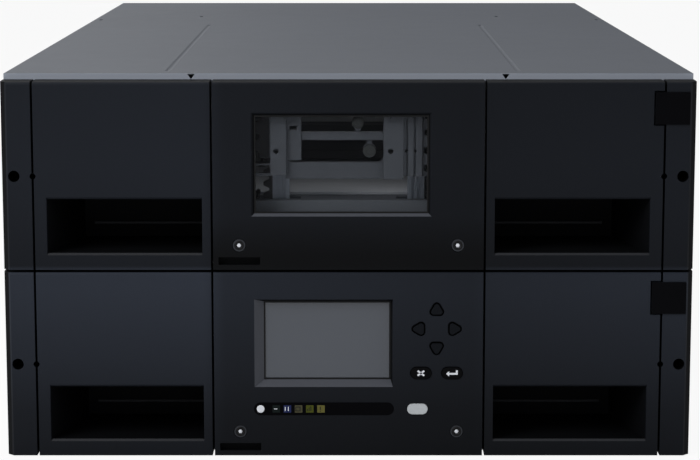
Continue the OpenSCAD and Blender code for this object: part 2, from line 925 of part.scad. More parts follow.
// A bail handle standing out of a rear face, drawn round its middle
module bail(x, z, w) {
    grip = 6;
    translate([x, y_rear, z - grip / 2]) linear_extrude(grip) difference() {
        translate([-w / 2, 0]) square([w, handle_out]);
        translate([-w / 2 + grip, -1]) square([w - 2 * grip, handle_out - grip + 1]);
    }
}

module drive(bay) {
    z0 = bay_z0 + bay * bay_h + slide_gap;
    z1 = z0 + sled_h - slide_gap;
    mid = (z0 + z1) / 2;
    difference() {
        union() {
            block([-sled_w / 2, drive_y, z0], [sled_w / 2, y_rear, z1]);
            block([-sled_w / 2 - flange_lap, y_rear + slide_gap, z0 - 0.7],
                [sled_w / 2 + flange_lap, y_rear + 2, z1 + 0.7]);
            block([-sled_w / 2 + 1, y_rear - 1, z0 + 1], [sled_w / 2 - 1, y_rear + 1, z1 - 1]);
            bail(0, mid, drive_bail_w);
        }
        block([-mouth_w / 2, drive_y - 1, mid - mouth_h / 2],
            [mouth_w / 2, drive_y + mouth_d, mid + mouth_h / 2]);
        for (x = port_x) block([x, y_rear - port_d, mid - port_h / 2],
            [x + port_w, y_rear + 3, mid + port_h / 2]);
    }
}

module placed_drive(level, bay) {
    color(black) at_level(level) drive(bay);
}

module bay_covers() {
    color(steel) for (spot = [[0, 2], [1, 1], [1, 2]]) at_level(spot[0])
        along_y(y_rear, y_rear + sheet) difference() {
            bay_shape(spot[1], 0.6);
            translate([0, bay_z0 + (spot[1] + 0.5) * bay_h]) for (i = [-7:7])
                translate([i * 8, 0]) rotate(90) stadium(24, 3);
        }
}

module power_supply() {
    z1 = supply_z + supply_h;
    inlet_x = supply_x1 - inlet_inset;
    difference() {
        union() {
            block([supply_x0, y_rear - supply_l, supply_z], [supply_x1, y_rear + lug, z1]);
            bail(supply_x1 - bail_inset, fan_z, bail_w);
        }
        rod_y(fan_x, fan_z, fan_r + 1, fan_y - fan_bore_d, y_rear + 3);
        block([inlet_x - inlet_w / 2, y_rear - inlet_d, fan_z - inlet_h / 2],
            [inlet_x + inlet_w / 2, y_rear + 3, fan_z + inlet_h / 2]);
    }
    rod_y(fan_x, fan_z, axle_r, fan_y - fan_bore_d - 1, fan_y + 10);
    for (turn = [0:60:120]) translate([fan_x, 0, fan_z]) rotate([0, turn, 0])
        block([-fan_r - 1.5, y_rear - 1, -0.7], [fan_r + 1.5, y_rear + 0.4, 0.7]);
}

module placed_supply(level) {
    color(steel) at_level(level) power_supply();
}

module fan(level) {
    color(black) at_level(level) difference() {
        union() {
            rod_y(fan_x, fan_z, fan_r * 0.42, fan_y - 10, fan_y + 8);
            for (turn = [0:360 / 7:359]) translate([fan_x, fan_y - 1, fan_z])
                rotate([0, turn, 0]) rotate([35, 0, 0])
                    block([fan_r * 0.35, -6, -0.6], [fan_r - 0.8, 6, 0.6]);
        }
        rod_y(fan_x, fan_z, axle_r + running_fit, fan_y - 11, fan_y + 9);
    }
}

// ---- Magazines ----

// The sheet metal frame of a magazine: floor, roof, outer wall and cell walls
module magazine_frame() {
    block([mag_in, y_back, mag_low], [mag_out, mag_y1, mag_floor]);
    block([mag_in, y_back, mag_roof], [mag_out, mag_y1, mag_roof + sheet]);
    block([mag_out - cell_wall, mag_y0, mag_low], [mag_out, mag_y1, mag_roof + sheet]);
    for (i = [0:columns])
        block([mag_in, mag_y0 + i * cell_pitch, mag_low],
            [mag_out, mag_y0 + i * cell_pitch + cell_wall, mag_roof + sheet]);
    block([mag_out, mag_y0, runner_z - runner_h / 2],
        [mag_out + runner_w, mag_y1, runner_z + runner_h / 2]);
}

module placed_magazine(level, side) {
    color(steel) at_level(level) on_side(side) magazine_frame();
}

// A strip with one ledge under each cartridge of a column
module comb() {
    block([mag_in + 3, 0, mag_floor], [mag_out - cell_wall, comb_t, mag_roof]);
    for (i = [1:tiers - 1])
        block([mag_in + 3, 0, mag_floor + i * tier - ledge_t],
            [mag_out - cell_wall, comb_t + ledge_w, mag_floor + i * tier]);
}

module combs(level, side) {
    color(black) at_level(level) on_side(side) for (i = [0:columns - 1])
        translate([0, mag_y0 + cell_wall + i * cell_pitch, 0]) {
            comb();
            translate([0, column_w, 0]) mirror([0, 1, 0]) comb();
        }
}

module guide_profile() {
    difference() {
        translate([guide_x0, runner_z - guide_half])
            square([wall_x - guide_x0, 2 * guide_half]);
        translate([guide_x0 - 1, runner_z - runner_h / 2 - slide_gap])
            square([mag_out + runner_w + slide_gap - guide_x0 + 1, runner_h + 2 * slide_gap]);
    }
}

module magazine_guides() {
    color(black) for (level = [0, 1]) at_level(level) both_sides()
        along_y(y_back + guide_start, mag_y1 + 6) guide_profile();
}

// The solenoid locks behind the release holes, with their plungers drawn back
module magazine_locks() {
    gap = guide_room - lock_w;
    y0 = y_back + guide_start;
    color(steel) for (level = [0, 1]) at_level(level) both_sides() difference() {
        block([mag_out + gap, y0, rack_hole_z - lock_half],
            [wall_x, y0 + lock_l, rack_hole_z + lock_half]);
        rod_y(ear_x, rack_hole_z, release_r - lock_fit, y0 - 1, y0 + lock_bore);
    }
}

// ---- Robot ----

// A rectangle whose two lower corners are round
module round_floor(w, h, r) {
    translate([0, r]) square([w, h - r]);
    translate([r, 0]) square([w - 2 * r, r + 0.1]);
    for (x = [r, w - r]) translate([x, r]) circle(r);
}

// The middle plate of the bracket, drawn in X and Z: two bars and the opening between them
module bracket_plate() {
    difference() {
        translate([cheek_x, window_z + sill_low])
            square([right_x + 1 - cheek_x, bar_high - sill_low]);
        translate([cheek_x, window_z + sill_high])
            round_floor(right_x - cheek_x, bar_low - sill_high, opening_r);
    }
}

// A strip with round-ended notches along one edge, drawn in X and Z
module notched_strip(w, low, first, pitch, count, notch) {
    difference() {
        translate([0, low]) square([w, hang_top - low]);
        for (i = [0:count - 1]) translate([w, first + i * pitch]) {
            translate([-notch / 2, -notch / 2]) square([notch, notch]);
            translate([-notch / 2, 0]) circle(notch / 2);
        }
    }
}

module roller(x, z, r) {
    rod_y(x, z, r, hang_y0 + 4, hang_y1);
    block([x - roller_arm / 2, hang_y1 - roller_arm, min(z, window_z + bar_low)],
        [x + roller_arm / 2, hang_y1, max(z, window_z + bar_low + 1)]);
}

// The hanger plates, bars and rollers that carry the rails' upper ends behind the window
module window_bracket() {
    rail_low = window_z + rail_rise;
    hole_z = window_z + hole_rise;
    color(robot_grey) at_level(1) difference() {
        union() {
            along_y(hang_y1 - plate_t, hang_y1) translate([hanger_x + 0.5, 0]) mirror([1, 0])
                notched_strip(slot_plate_w + 0.5, window_z + plate_rise,
                    window_z + plate_rise + 2, plate_pitch, 3, notch_h);
            for (rise = ledge_rises) block([window_x0, hang_y0 + 2, window_z + rise],
                [hanger_x + 1, hang_y1, window_z + rise + bracket_ledge]);
            block([hanger_x, hang_y0, window_z + hanger_rise], [cheek_x + 0.5, hang_y1, hang_top]);
            block([cheek_x, hang_y0 + 3, window_z + cheek_rise],
                [cheek_x + cheek_w, hang_y1, hang_top]);
            along_y(hang_y0 + 4, hang_y1) bracket_plate();
            block([right_x, hang_y0, window_z + sill_low], [groove_x, hang_y1, hang_top]);
            block([groove_x - 0.5, hang_y0 + 1, rail_low], [tooth_x, hang_y1, hang_top]);
            along_y(hang_y0 + 3, hang_y1) translate([tooth_x - 0.5, 0])
                notched_strip(window_x1 - tooth_x + 0.5, rail_low, rail_low + notch_h,
                    notch_pitch, 5, notch_h);
            for (spot = rollers) roller(window_x1 - spot[0], window_z + spot[1], spot[2]);
        }
        for (x = [hanger_x + 4, right_x + 5, groove_x + 2, groove_x + 8])
            rod_y(x, hole_z, x < groove_x ? 1.8 : 1.1, hang_y0 - 1, hang_y1 + 1);
        block([cheek_x + 3, hang_y0, window_z + cheek_slot],
            [cheek_x + 8, hang_y1 + 1, window_z + cheek_slot + 2.8]);
        for (x = [groove_x + 1.6, groove_x + 7])
            block([x, hang_y0, rail_low - 1], [x + groove_w, hang_y0 + 3, hang_top + 1]);
        along_y(hang_y0 - 1, hang_y1 + 1) polygon([[right_x + 1, hang_top + 1],
            [right_x + 9, hang_top + 1], [right_x + 5, window_z + notch_rise]]);
    }
}

module rail_plan() {
    x0 = rack_back - 12;
    difference() {
        translate([x0, front_rack_y]) square([12, rack_d]);
        for (x = [x0 + 4, x0 + 8]) translate([x - 1, front_rack_y - 1]) square([2, 3]);
    }
}

module front_rails() {
    color(robot_grey) both_sides() translate([0, 0, sheet])
        linear_extrude(roof_z - sheet) rail_plan();
}

// One straight side of the rack teeth, lowest tooth first, between z0 and z1
function rack_edge(z0, z1) = [
    for (i = [floor((z0 - shaft_z) / rack_pitch) - 1 : ceil((z1 - shaft_z) / rack_pitch) + 1])
        for (corner = rack_tooth) [corner[0], shaft_z + i * rack_pitch + corner[1]]
];

rack_pitch = PI * gear_m;
tip_half = (rack_pitch / 2 - backlash) / 2 - addendum * tan(pressure);
root_half = (rack_pitch / 2 - backlash) / 2 + (addendum + backlash) * tan(pressure);
rack_tooth = [[rack_root, -root_half], [rack_x + addendum, -tip_half],
    [rack_x + addendum, tip_half], [rack_root, root_half]];

module rack(y, z0, z1) {
    along_y(y, y + rack_d) intersection() {
        polygon(concat([[rack_back, z0 - 20]], rack_edge(z0, z1), [[rack_back, z1 + 20]]));
        translate([0, z0]) square([2 * rack_x, z1 - z0]);
    }
}

module lift_racks() {
    color(black) both_sides() for (y = [front_rack_y, rear_rack_y]) {
        rack(y, sheet, module_h);
        rack(y, module_h, roof_z);
    }
}

// Half the angle of a pinion tooth at the radius r
function inv(a) = tan(a) * 180 / PI - a;
base_r = pinion_r * cos(pressure);
function tooth_angle(r) = (rack_pitch / 2 - backlash) / pinion_r / 2 * 180 / PI
    + inv(pressure) - inv(acos(min(1, base_r / r)));
pinion_tip = pinion_r + addendum;
pinion_root = pinion_r - addendum - 0.3;
tooth_radii = concat([pinion_root], [for (i = [0:4]) base_r + (pinion_tip - base_r) * i / 4]);

function polar(r, a) = r * [cos(a), sin(a)];
function tooth_points(turn) = concat(
    [for (r = tooth_radii) polar(r, turn - tooth_angle(max(r, base_r)))],
    [for (i = [5:-1:0]) polar(tooth_radii[i], turn + tooth_angle(max(tooth_radii[i], base_r)))]);

// Two pinions on a shaft that runs the length of the platform
module lift_shaft(side) {
    teeth = [for (i = [0:pinion_teeth - 1]) each tooth_points(i * 360 / pinion_teeth)];
    color(black) on_side(side) {
        for (y = [front_rack_y + 0.5, rear_rack_y + 0.5]) along_y(y, y + rack_d - 1)
            translate([pinion_x, shaft_z]) polygon(teeth);
        rod_y(pinion_x, shaft_z, shaft_r, deck_y0 + 1, deck_y1 - 1);
    }
}

// The ring frame that the racks carry up and down
module lift_platform() {
    z0 = deck_z - deck_t;
    color(robot_grey) difference() {
        union() {
            both_sides() block([deck_x - beam_w, deck_y0, z0], [deck_x, deck_y1, deck_z]);
            block([-deck_x, deck_y0, z0], [deck_x, front_room, deck_z]);
            block([-deck_x, rail_y0, z0], [deck_x, rail_y0 + inner_beam, deck_z]);
            block([-deck_x, rear_room - inner_beam, z0], [deck_x, rear_room, deck_z]);
            block([-deck_x, deck_y1 - rear_beam, z0], [deck_x, deck_y1, deck_z]);
            block([-34, front_room, deck_z - 2], [34, rail_y0, deck_z]);
        }
        for (side = [-1, 1]) rod_y(side * pinion_x, shaft_z, shaft_r + running_fit,
            deck_y0 - 1, deck_y1 + 1);
    }
}

module shuttle() {
    y0 = shuttle_y - shuttle_front;
    y1 = shuttle_y + shuttle_back;
    lip_x = deck_x + slide_gap;
    color(robot_grey) difference() {
        union() {
            block([-lip_x - 1.5, y0, shuttle_z], [lip_x + 1.5, y1, shuttle_z + shuttle_t]);
            both_sides() block([lip_x, y0, deck_z - deck_t + 1], [lip_x + 1.5, y1, shuttle_z]);
            translate([0, shuttle_y, picker_z1 + 0.4])
                cylinder(r = spigot_r + 10, h = shuttle_z - picker_z1);
        }
        translate([0, shuttle_y, picker_z1]) cylinder(r = spigot_r + running_fit, h = 30);
    }
}

module picker() {
    half = picker_w / 2;
    y0 = shuttle_y - picker_l / 2;
    y1 = shuttle_y + picker_l / 2;
    color(black) {
        difference() {
            block([-half, y0, picker_z0], [half, y1, picker_z1]);
            block([-half + picker_wall, y0 + picker_wall, picker_z0 + picker_wall],
                [half - picker_wall, y1 + 1, picker_z1 - picker_wall]);
        }
        translate([0, shuttle_y, picker_z1 - 0.5])
            cylinder(r = spigot_r, h = shuttle_z + shuttle_t - picker_z1);
    }
}

module gripper() {
    z0 = picker_z0 + picker_wall + slide_gap;
    y1 = shuttle_y + picker_l / 2 - 4;
    color(steel) {
        block([-grip_w / 2, shuttle_y, z0], [grip_w / 2, y1 - finger_l, z0 + grip_h]);
        both_sides() block([finger_x, y1 - finger_l, z0 + finger_rise],
            [finger_x + finger_w, y1, z0 + finger_rise + finger_h]);
    }
}

// ---- Electronics ----

module controller_card() {
    color(steel) difference() {
        union() {
            block([card_x0, y_rear - card_l, supply_z], [card_x1, y_rear + lug, supply_z + card_h]);
            bail(card_x1 - bail_w + 8, supply_z + card_h / 2, bail_w);
        }
        block([card_x0 + 2, y_rear - card_l - 1, supply_z + 2],
            [card_x1 - 2, y_rear - 3, supply_z + card_h + 1]);
        for (i = [0:2]) translate([card_x0 + 8 + i * socket_pitch, 0, supply_z + 6])
            block([0, y_rear - 4, 0], [socket_w, y_rear + 2, socket_h]);
    }
}

module expansion_rear_panel() {
    at_level(1) rear_panel(roof_z - module_h, false);
}

module drive_cages() {
    color(steel) for (level = [0, 1]) at_level(level) drive_cage();
}

module cancel_key() {
    oval_key(keys_x - oval_pitch / 2, oval_z, oval_w, oval_h, black);
}

module enter_key() {
    oval_key(keys_x + oval_pitch / 2, oval_z, oval_w, oval_h, black);
}

module power_button() {
    oval_key(power_x, power_z, power_w, power_h, [0.85, 0.86, 0.88]);
}

base_chassis();
expansion_chassis();
top_cover();
placed_side_cover(-1);  // left_side_cover
placed_side_cover(1);  // right_side_cover
rear_panel(module_h, true);  // base_rear_panel
expansion_rear_panel();
drive_cages();
placed_ear(1, -1);  // upper_left_ear
placed_ear(1, 1);  // upper_right_ear
placed_ear(0, -1);  // lower_left_ear
placed_ear(0, 1);  // lower_right_ear
badges();
window_panel();
window_pane();
control_panel();
panel_screws();
display();
control_board();
indicator_lens();
status_lights();
arrow_key(keys_x, keys_z + keys_pitch_z, 0);  // up_key
arrow_key(keys_x, keys_z - keys_pitch_z, 180);  // down_key
arrow_key(keys_x - keys_pitch_x, keys_z, 90);  // left_key
arrow_key(keys_x + keys_pitch_x, keys_z, -90);  // right_key
cancel_key();
enter_key();
power_button();
placed_front(1, -1);  // upper_left_front
placed_front(1, 1);  // upper_right_front
placed_front(0, -1);  // lower_left_front
placed_front(0, 1);  // lower_right_front
placed_magazine(1, -1);  // upper_left_magazine
placed_magazine(1, 1);  // upper_right_magazine
placed_magazine(0, -1);  // lower_left_magazine
placed_magazine(0, 1);  // lower_right_magazine
combs(1, -1);  // upper_left_combs
combs(1, 1);  // upper_right_combs
combs(0, -1);  // lower_left_combs
combs(0, 1);  // lower_right_combs
magazine_guides();
magazine_locks();
window_bracket();
front_rails();
lift_racks();
lift_platform();
lift_shaft(-1);  // left_lift_shaft
lift_shaft(1);  // right_lift_shaft
shuttle();
picker();
gripper();
placed_drive(0, 0);  // lower_drive
placed_drive(0, 1);  // middle_drive
placed_drive(1, 0);  // expansion_drive
bay_covers();
placed_supply(0);  // base_power_supply
placed_supply(1);  // expansion_power_supply
fan(0);  // base_fan
fan(1);  // expansion_fan
controller_card();
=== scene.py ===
import math

import bmesh
import bpy
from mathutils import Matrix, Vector


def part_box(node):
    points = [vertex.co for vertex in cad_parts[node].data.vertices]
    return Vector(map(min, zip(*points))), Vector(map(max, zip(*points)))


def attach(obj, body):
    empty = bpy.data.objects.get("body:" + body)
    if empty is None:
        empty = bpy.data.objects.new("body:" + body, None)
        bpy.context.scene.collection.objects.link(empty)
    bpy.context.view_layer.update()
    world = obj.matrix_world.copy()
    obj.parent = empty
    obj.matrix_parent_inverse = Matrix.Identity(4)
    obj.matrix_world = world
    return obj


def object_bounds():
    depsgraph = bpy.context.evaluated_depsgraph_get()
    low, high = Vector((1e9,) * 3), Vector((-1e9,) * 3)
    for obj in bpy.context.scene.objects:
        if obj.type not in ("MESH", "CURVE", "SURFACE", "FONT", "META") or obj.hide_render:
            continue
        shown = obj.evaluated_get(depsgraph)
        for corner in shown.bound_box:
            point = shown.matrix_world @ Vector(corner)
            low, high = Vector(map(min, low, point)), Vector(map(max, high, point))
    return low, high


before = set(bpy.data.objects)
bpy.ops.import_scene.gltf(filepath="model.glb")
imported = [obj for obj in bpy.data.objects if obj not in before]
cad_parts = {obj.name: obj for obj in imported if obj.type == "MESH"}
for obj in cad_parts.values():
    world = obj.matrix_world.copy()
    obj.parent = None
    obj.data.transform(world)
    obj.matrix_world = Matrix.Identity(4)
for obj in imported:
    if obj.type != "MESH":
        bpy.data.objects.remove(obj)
cadBox = [list(corner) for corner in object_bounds()]
print("frame loaded:", len(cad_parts), "nodes")


def corners(nodeName):
    # a CAD node's lowest and highest corners
    return [Vector(corner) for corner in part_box(nodeName)]


def middle(nodeName):
    low, high = corners(nodeName)
    return (low + high) / 2


boxLow, boxHigh = (Vector(corner) for corner in cadBox)
boxSize = boxHigh - boxLow
bracketLow = corners("window_bracket")[0]
panelLow, panelHigh = corners("window_panel")

toneLine = {
    # the places, in metres, where a finish changes its tone, most of them edges of painted
    # light and shade
    "pocket": boxLow.y + 0.0022,  # just behind the fronts' face, where painted shade in pockets and holes begins
    "gapShade": boxLow.y + 0.0012,  # just behind a key cap's face, where the painted shade of its gap begins
    "lip": corners("top_cover")[0].y + 0.0004,  # just behind the cover's front face, where its painted light ends
    "plateSide": bracketLow.x + 0.0122,  # the window's plate, painted dark as shade, is left of this
    "plateLow": bracketLow.z + 0.01065,  # and above this
    "railFootLight": bracketLow.z - 0.00035,  # the painted light on the front rails' feet ends here
    "panelSide": panelHigh.x + 0.00085,  # just outside the window panel
    "panelFoot": panelLow.z - 0.0007,  # just under the window panel
    "panelFade": corners("window_pane")[0].z + 0.00095,  # painted shade on the panel deepens from here down
}


class Wire:
    # a socket's output, so that shader sums can be written as sums
    def __init__(self, shop, socket):
        self.shop = shop
        self.socket = socket

    def math(self, operation, *others):
        values = dict(enumerate((self,) + others))
        return self.shop.node("ShaderNodeMath", {"operation": operation}, values)

    def clamped(self):
        return self.math("MAXIMUM", 0.0).math("MINIMUM", 1.0)

    def __add__(self, other):
        return self.math("ADD", other)

    __radd__ = __add__

    def __sub__(self, other):
        return self.math("SUBTRACT", other)

    def __rsub__(self, other):
        return (self * -1.0) + other

    def __mul__(self, other):
        return self.math("MULTIPLY", other)

    __rmul__ = __mul__

    def __gt__(self, other):
        return self.math("GREATER_THAN", other)

    def __lt__(self, other):
        return self.math("LESS_THAN", other)


class Finish:
    # one material and the nodes that make it
    def __init__(self, name):
        self.material = bpy.data.materials.new(name)
        self.material.use_nodes = True
        self.tree = self.material.node_tree
        self.tree.nodes.clear()

    def node(self, kind, settings=None, values=None, out=0):
        # stops is a ramp's list of places and colours
        made = self.tree.nodes.new(kind)
        for name, setting in (settings or {}).items():
            if name == "stops":
                ramp = made.color_ramp
                while len(ramp.elements) < len(setting):
                    ramp.elements.new(0.5)
                for element, (place, colour) in zip(ramp.elements, setting):
                    element.position = place
                    element.color = colour
            else:
                setattr(made, name, setting)
        for key, value in (values or {}).items():
            if isinstance(value, Wire):
                self.tree.links.new(value.socket, made.inputs[key])
            else:
                made.inputs[key].default_value = value
        return Wire(self, made.outputs[out]) if made.outputs else None

    def place(self):
        return self.node("ShaderNodeTexCoord", out="Object")

    def along(self, axis):
        return self.node("ShaderNodeSeparateXYZ", None, {0: self.place()}, out=axis)

    def stretched(self, scale):
        return self.node("ShaderNodeMapping", None, {"Vector": self.place(), "Scale": scale})

    def noise(self, scale, detail=2.0, rough=0.5, vector=None):
        values = {"Vector": vector or self.place(), "Scale": scale, "Detail": detail,
                  "Roughness": rough}
        return self.node("ShaderNodeTexNoise", None, values)

    def blend(self, factor, first, second, kind="MIX"):
        # the Mix node's colours are sockets 6 and 7, and its mixed colour is output 2
        return self.node("ShaderNodeMix", {"data_type": "RGBA", "blend_type": kind},
                         {0: factor, 6: first, 7: second}, out=2)

    def bump(self, height, strength, distance, normal=None):
        values = {"Height": height, "Strength": strength, "Distance": distance}
        if normal:
            values["Normal"] = normal
        return self.node("ShaderNodeBump", None, values)

    def rounded(self, radius):
        return self.node("ShaderNodeBevel", {"samples": 4}, {"Radius": radius})

    def surface(self, **values):
        # sockets go by their names, with _ for a space
        shader = self.node("ShaderNodeBsdfPrincipled", None,
                           {name.replace("_", " "): value for name, value in values.items()})
        self.node("ShaderNodeOutputMaterial", None, {"Surface": shader})
        return self.material


def tone(red, green, blue):
    # a screen colour from 0 to 255, as the linear colour that a shader takes
    def linear(part):
        part = part / 255
        return part / 12.92 if part <= 0.04045 else ((part + 0.055) / 1.055) ** 2.4
    return (linear(red), linear(green), linear(blue), 1.0)


def graded(colour, share):
    # a darker colour, or with a share above 1 a lighter one
    return tuple(part * share for part in colour[:3]) + (1.0,)


fronts = {
    # painted light and shade: grades by share of the height from below, and of the width from
    # the left
    "risingLight": [(0.0, 0.48), (0.12, 0.68), (0.25, 1.25), (0.44, 1.95), (0.494, 2.0),
               (0.506, 0.58), (0.64, 0.8), (0.78, 0.92), (0.97, 0.85)],
    "crossingLight": [(0.0, 1.2), (0.29, 1.45), (0.32, 0.84), (0.68, 0.66), (0.71, 0.8),
                 (1.0, 1.05)],
    "cloud": (3.2, 3.9),  # high, because both sets of grades are halved
    "inside": 0.15,
    "foot": 0.08, "footCover": 0.9, "footRate": 36.0,  # painted shade on the window panel's lower part
}


def frontPlastic(name, colour):
    # painted light and shade: lighter where the lower module meets the light and on the left,
    # darker under the window, and black as painted shade inside pockets and holes
    finish = Finish(name)
    across, depth, height = (finish.along(axis) for axis in "XYZ")
    cloud = finish.noise(5.0, 4.0)
    speck = finish.noise(900.0, 3.0, 0.6)
    plain = finish.blend(cloud, *(graded(colour, share) for share in fronts["cloud"]))
    # painted light and shade, by height and by width
    for grades, share in ((fronts["risingLight"], height * (1 / boxSize.z)),
                          (fronts["crossingLight"], across * (1 / boxSize.x) + 0.5)):
        stops = [(spot, (grade / 2, grade / 2, grade / 2, 1)) for spot, grade in grades]
        ramp = finish.node("ShaderNodeValToRGB", {"stops": stops}, {0: share})
        plain = finish.blend(1.0, plain, ramp, "MULTIPLY")
    # painted shade under the window panel
    shadeUnderWindow = ((across.math("ABSOLUTE") < toneLine["panelSide"])
                   * (height > toneLine["panelFoot"])
                   * ((toneLine["panelFade"] - height) * fronts["footRate"]).clamped())
    plain = finish.blend(shadeUnderWindow * fronts["footCover"], plain,
                         graded(colour, fronts["foot"]))
    # painted shade: pockets and holes near black
    inside = depth > toneLine["pocket"]
    return finish.surface(
        Base_Color=finish.blend(inside, plain, graded(colour, fronts["inside"])),
        Roughness=cloud * 0.10 + speck * 0.06 + inside * 0.2 + 0.36, Specular_IOR_Level=0.1,
        Normal=finish.bump(speck, 0.3, 0.00012, finish.rounded(0.0007)))


def keyRubber(name, colour):
    # the cap's face over sides painted near black, as painted shade in the gap round the key
    finish = Finish(name)
    speck = finish.noise(700.0, 3.0)
    # painted shade in the gap round the key
    gapShade = finish.along("Y") > toneLine["gapShade"]
    return finish.surface(
        Base_Color=finish.blend(gapShade, colour, (0.0012, 0.0012, 0.0015, 1)),
        Roughness=speck * 0.1 + 0.45, Specular_IOR_Level=0.06, Normal=finish.rounded(0.0004))


lampTones = [
    # each lamp's left edge as a share of the row, and its colour
    (0.0, tone(8, 8, 10)), (0.16, tone(10, 19, 18)), (0.34, tone(28, 36, 72)),
    (0.51, tone(66, 64, 46)), (0.68, tone(66, 70, 20)), (0.85, tone(90, 86, 44))]


def statusLamps(name, nodeName):
    # one tone for each lamp, in a row along X
    finish = Finish(name)
    first, last = (corner.x for corner in corners(nodeName))
    share = (finish.along("X") - first) * (1 / (last - first))
    ramp = finish.node("ShaderNodeValToRGB", {"stops": lampTones}, {0: share})
    ramp.socket.node.color_ramp.interpolation = "CONSTANT"
    speck = finish.noise(400.0, 2.0)
    return finish.surface(Base_Color=ramp, Roughness=speck * 0.1 + 0.35, Specular_IOR_Level=0.1)


def mouldedPlastic(name, colour, roughness, edge=0.0):
    finish = Finish(name)
    cloud = finish.noise(7.0, 4.0)
    speck = finish.noise(900.0, 3.0, 0.6)
    normal = finish.rounded(edge) if edge else None
    return finish.surface(
        Base_Color=finish.blend(cloud, graded(colour, 0.86), graded(colour, 1.12)),
        Roughness=cloud * 0.10 + speck * 0.06 + (roughness - 0.08), Specular_IOR_Level=0.2,
        Normal=finish.bump(speck, 0.35, 0.00012, normal))


def powderPaint(name, colour, roughness, lipLightShare=None):
    # with a lip light share, the faces at the cover's front edge are lightened by it as painted
    # light
    finish = Finish(name)
    cloud = finish.noise(3.5, 4.0)
    pebble = finish.noise(1500.0, 2.0, 0.4)
    rub = finish.noise(38.0, 6.0, 0.7)
    base = finish.blend(cloud, graded(colour, 0.93), graded(colour, 1.06))
    # painted light on the cover's front lip
    if lipLightShare:
        base = finish.blend(finish.along("Y") < toneLine["lip"], base,
                            graded(colour, lipLightShare))
    return finish.surface(
        Base_Color=base,
        Roughness=pebble * 0.10 + rub * 0.08 + (roughness - 0.09), Specular_IOR_Level=0.15,
        Normal=finish.bump(pebble, 0.3, 0.00015, finish.rounded(0.0006)))


def sheetSteel(name, colour, roughness=0.38, grainAlong=(60.0, 1.0, 60.0), metallic=0.85):
    finish = Finish(name)
    brushed = finish.noise(30.0, 5.0, 0.65, finish.stretched(grainAlong))
    cloud = finish.noise(9.0, 3.0)
    return finish.surface(
        Base_Color=finish.blend(brushed, graded(colour, 0.88), graded(colour, 1.08)),
        Metallic=metallic, Roughness=brushed * 0.14 + cloud * 0.08 + (roughness - 0.11),
        Normal=finish.bump(brushed, 0.12, 0.0001, finish.rounded(0.0004)))


def robotMetal(name, colour, footLightShare=1.0):
    # light cast parts, painted shade as a dark plate left of the hanging bracket, and painted
    # light on paler feet
    finish = Finish(name)
    brushed = finish.noise(30.0, 5.0, 0.65, finish.stretched((20.0, 1.0, 20.0)))
    across, height = finish.along("X"), finish.along("Z")
    # painted shade left of the hanging bracket
    shadedPlate = (across < toneLine["plateSide"]) * (height > toneLine["plateLow"])
    base = finish.blend(brushed, graded(colour, 0.88), graded(colour, 1.08))
    # painted light on the rails' feet
    base = finish.blend(height < toneLine["railFootLight"], base, graded(colour, footLightShare))
    return finish.surface(
        Base_Color=finish.blend(shadedPlate, base, graded(colour, 0.14)), Metallic=0.15,
        Roughness=brushed * 0.14 + 0.42, Specular_IOR_Level=0.2,
        Normal=finish.bump(brushed, 0.12, 0.0001, finish.rounded(0.0004)))


def zincPlate(name, colour):
    finish = Finish(name)
    spangle = finish.node("ShaderNodeTexVoronoi", None,
                          {"Vector": finish.place(), "Scale": 70.0}, out="Color")
    grey = finish.node("ShaderNodeRGBToBW", None, {0: spangle})
    cloud = finish.noise(12.0, 4.0)
    return finish.surface(
        Base_Color=finish.blend(grey, graded(colour, 0.9), graded(colour, 1.1)),
        Metallic=0.8, Roughness=grey * 0.12 + cloud * 0.10 + 0.28,
        Normal=finish.bump(cloud, 0.1, 0.0002, finish.rounded(0.0004)))


def glossBlack(name, colour, roughness):
    # a low specular level, so that the white studio doesn't wash it grey
    finish = Finish(name)
    smear = finish.noise(26.0, 5.0, 0.6)
    fine = finish.noise(500.0, 2.0)
    return finish.surface(
        Base_Color=finish.blend(smear, colour, graded(colour, 1.5)),
        Roughness=smear * 0.10 + (roughness - 0.04), Specular_IOR_Level=0.03,
        Normal=finish.bump(fine, 0.04, 0.0001, finish.rounded(0.0004)))


def smokedPane(name):
    finish = Finish(name)
    smear = finish.noise(14.0, 5.0, 0.6)
    return finish.surface(
        Base_Color=finish.blend(smear, (0.010, 0.011, 0.013, 1), (0.016, 0.017, 0.02, 1)),
        Roughness=smear * 0.06 + 0.03, Alpha=smear * 0.04 + 0.12, Specular_IOR_Level=0.12)


def displayGlass(name):
    finish = Finish(name)
    cloud = finish.noise(11.0, 3.0)
    return finish.surface(
        Base_Color=finish.blend(cloud, tone(56, 61, 68), tone(62, 66, 74)),
        Roughness=cloud * 0.06 + 0.20, Coat_Weight=0.5, Coat_Roughness=0.08)


def glowing(name, colour, strength):
    finish = Finish(name)
    patch = finish.noise(300.0, 2.0)
    shade = finish.blend(patch, graded(colour, 0.8), colour)
    return finish.surface(Base_Color=shade, Roughness=patch * 0.1 + 0.3,
                          Emission_Color=shade, Emission_Strength=strength)


def circuitBoard(name):
    finish = Finish(name)
    tracks = finish.node("ShaderNodeTexBrick", None, {
        "Vector": finish.place(), "Scale": 160.0, "Color1": (0.01, 0.07, 0.03, 1),
        "Color2": (0.015, 0.10, 0.04, 1), "Mortar": (0.03, 0.16, 0.07, 1)})
    cloud = finish.noise(200.0, 2.0)
    return finish.surface(Base_Color=tracks, Roughness=cloud * 0.1 + 0.35)


anyWay = (1.0, 1.0, 1.0)  # a grain without a direction

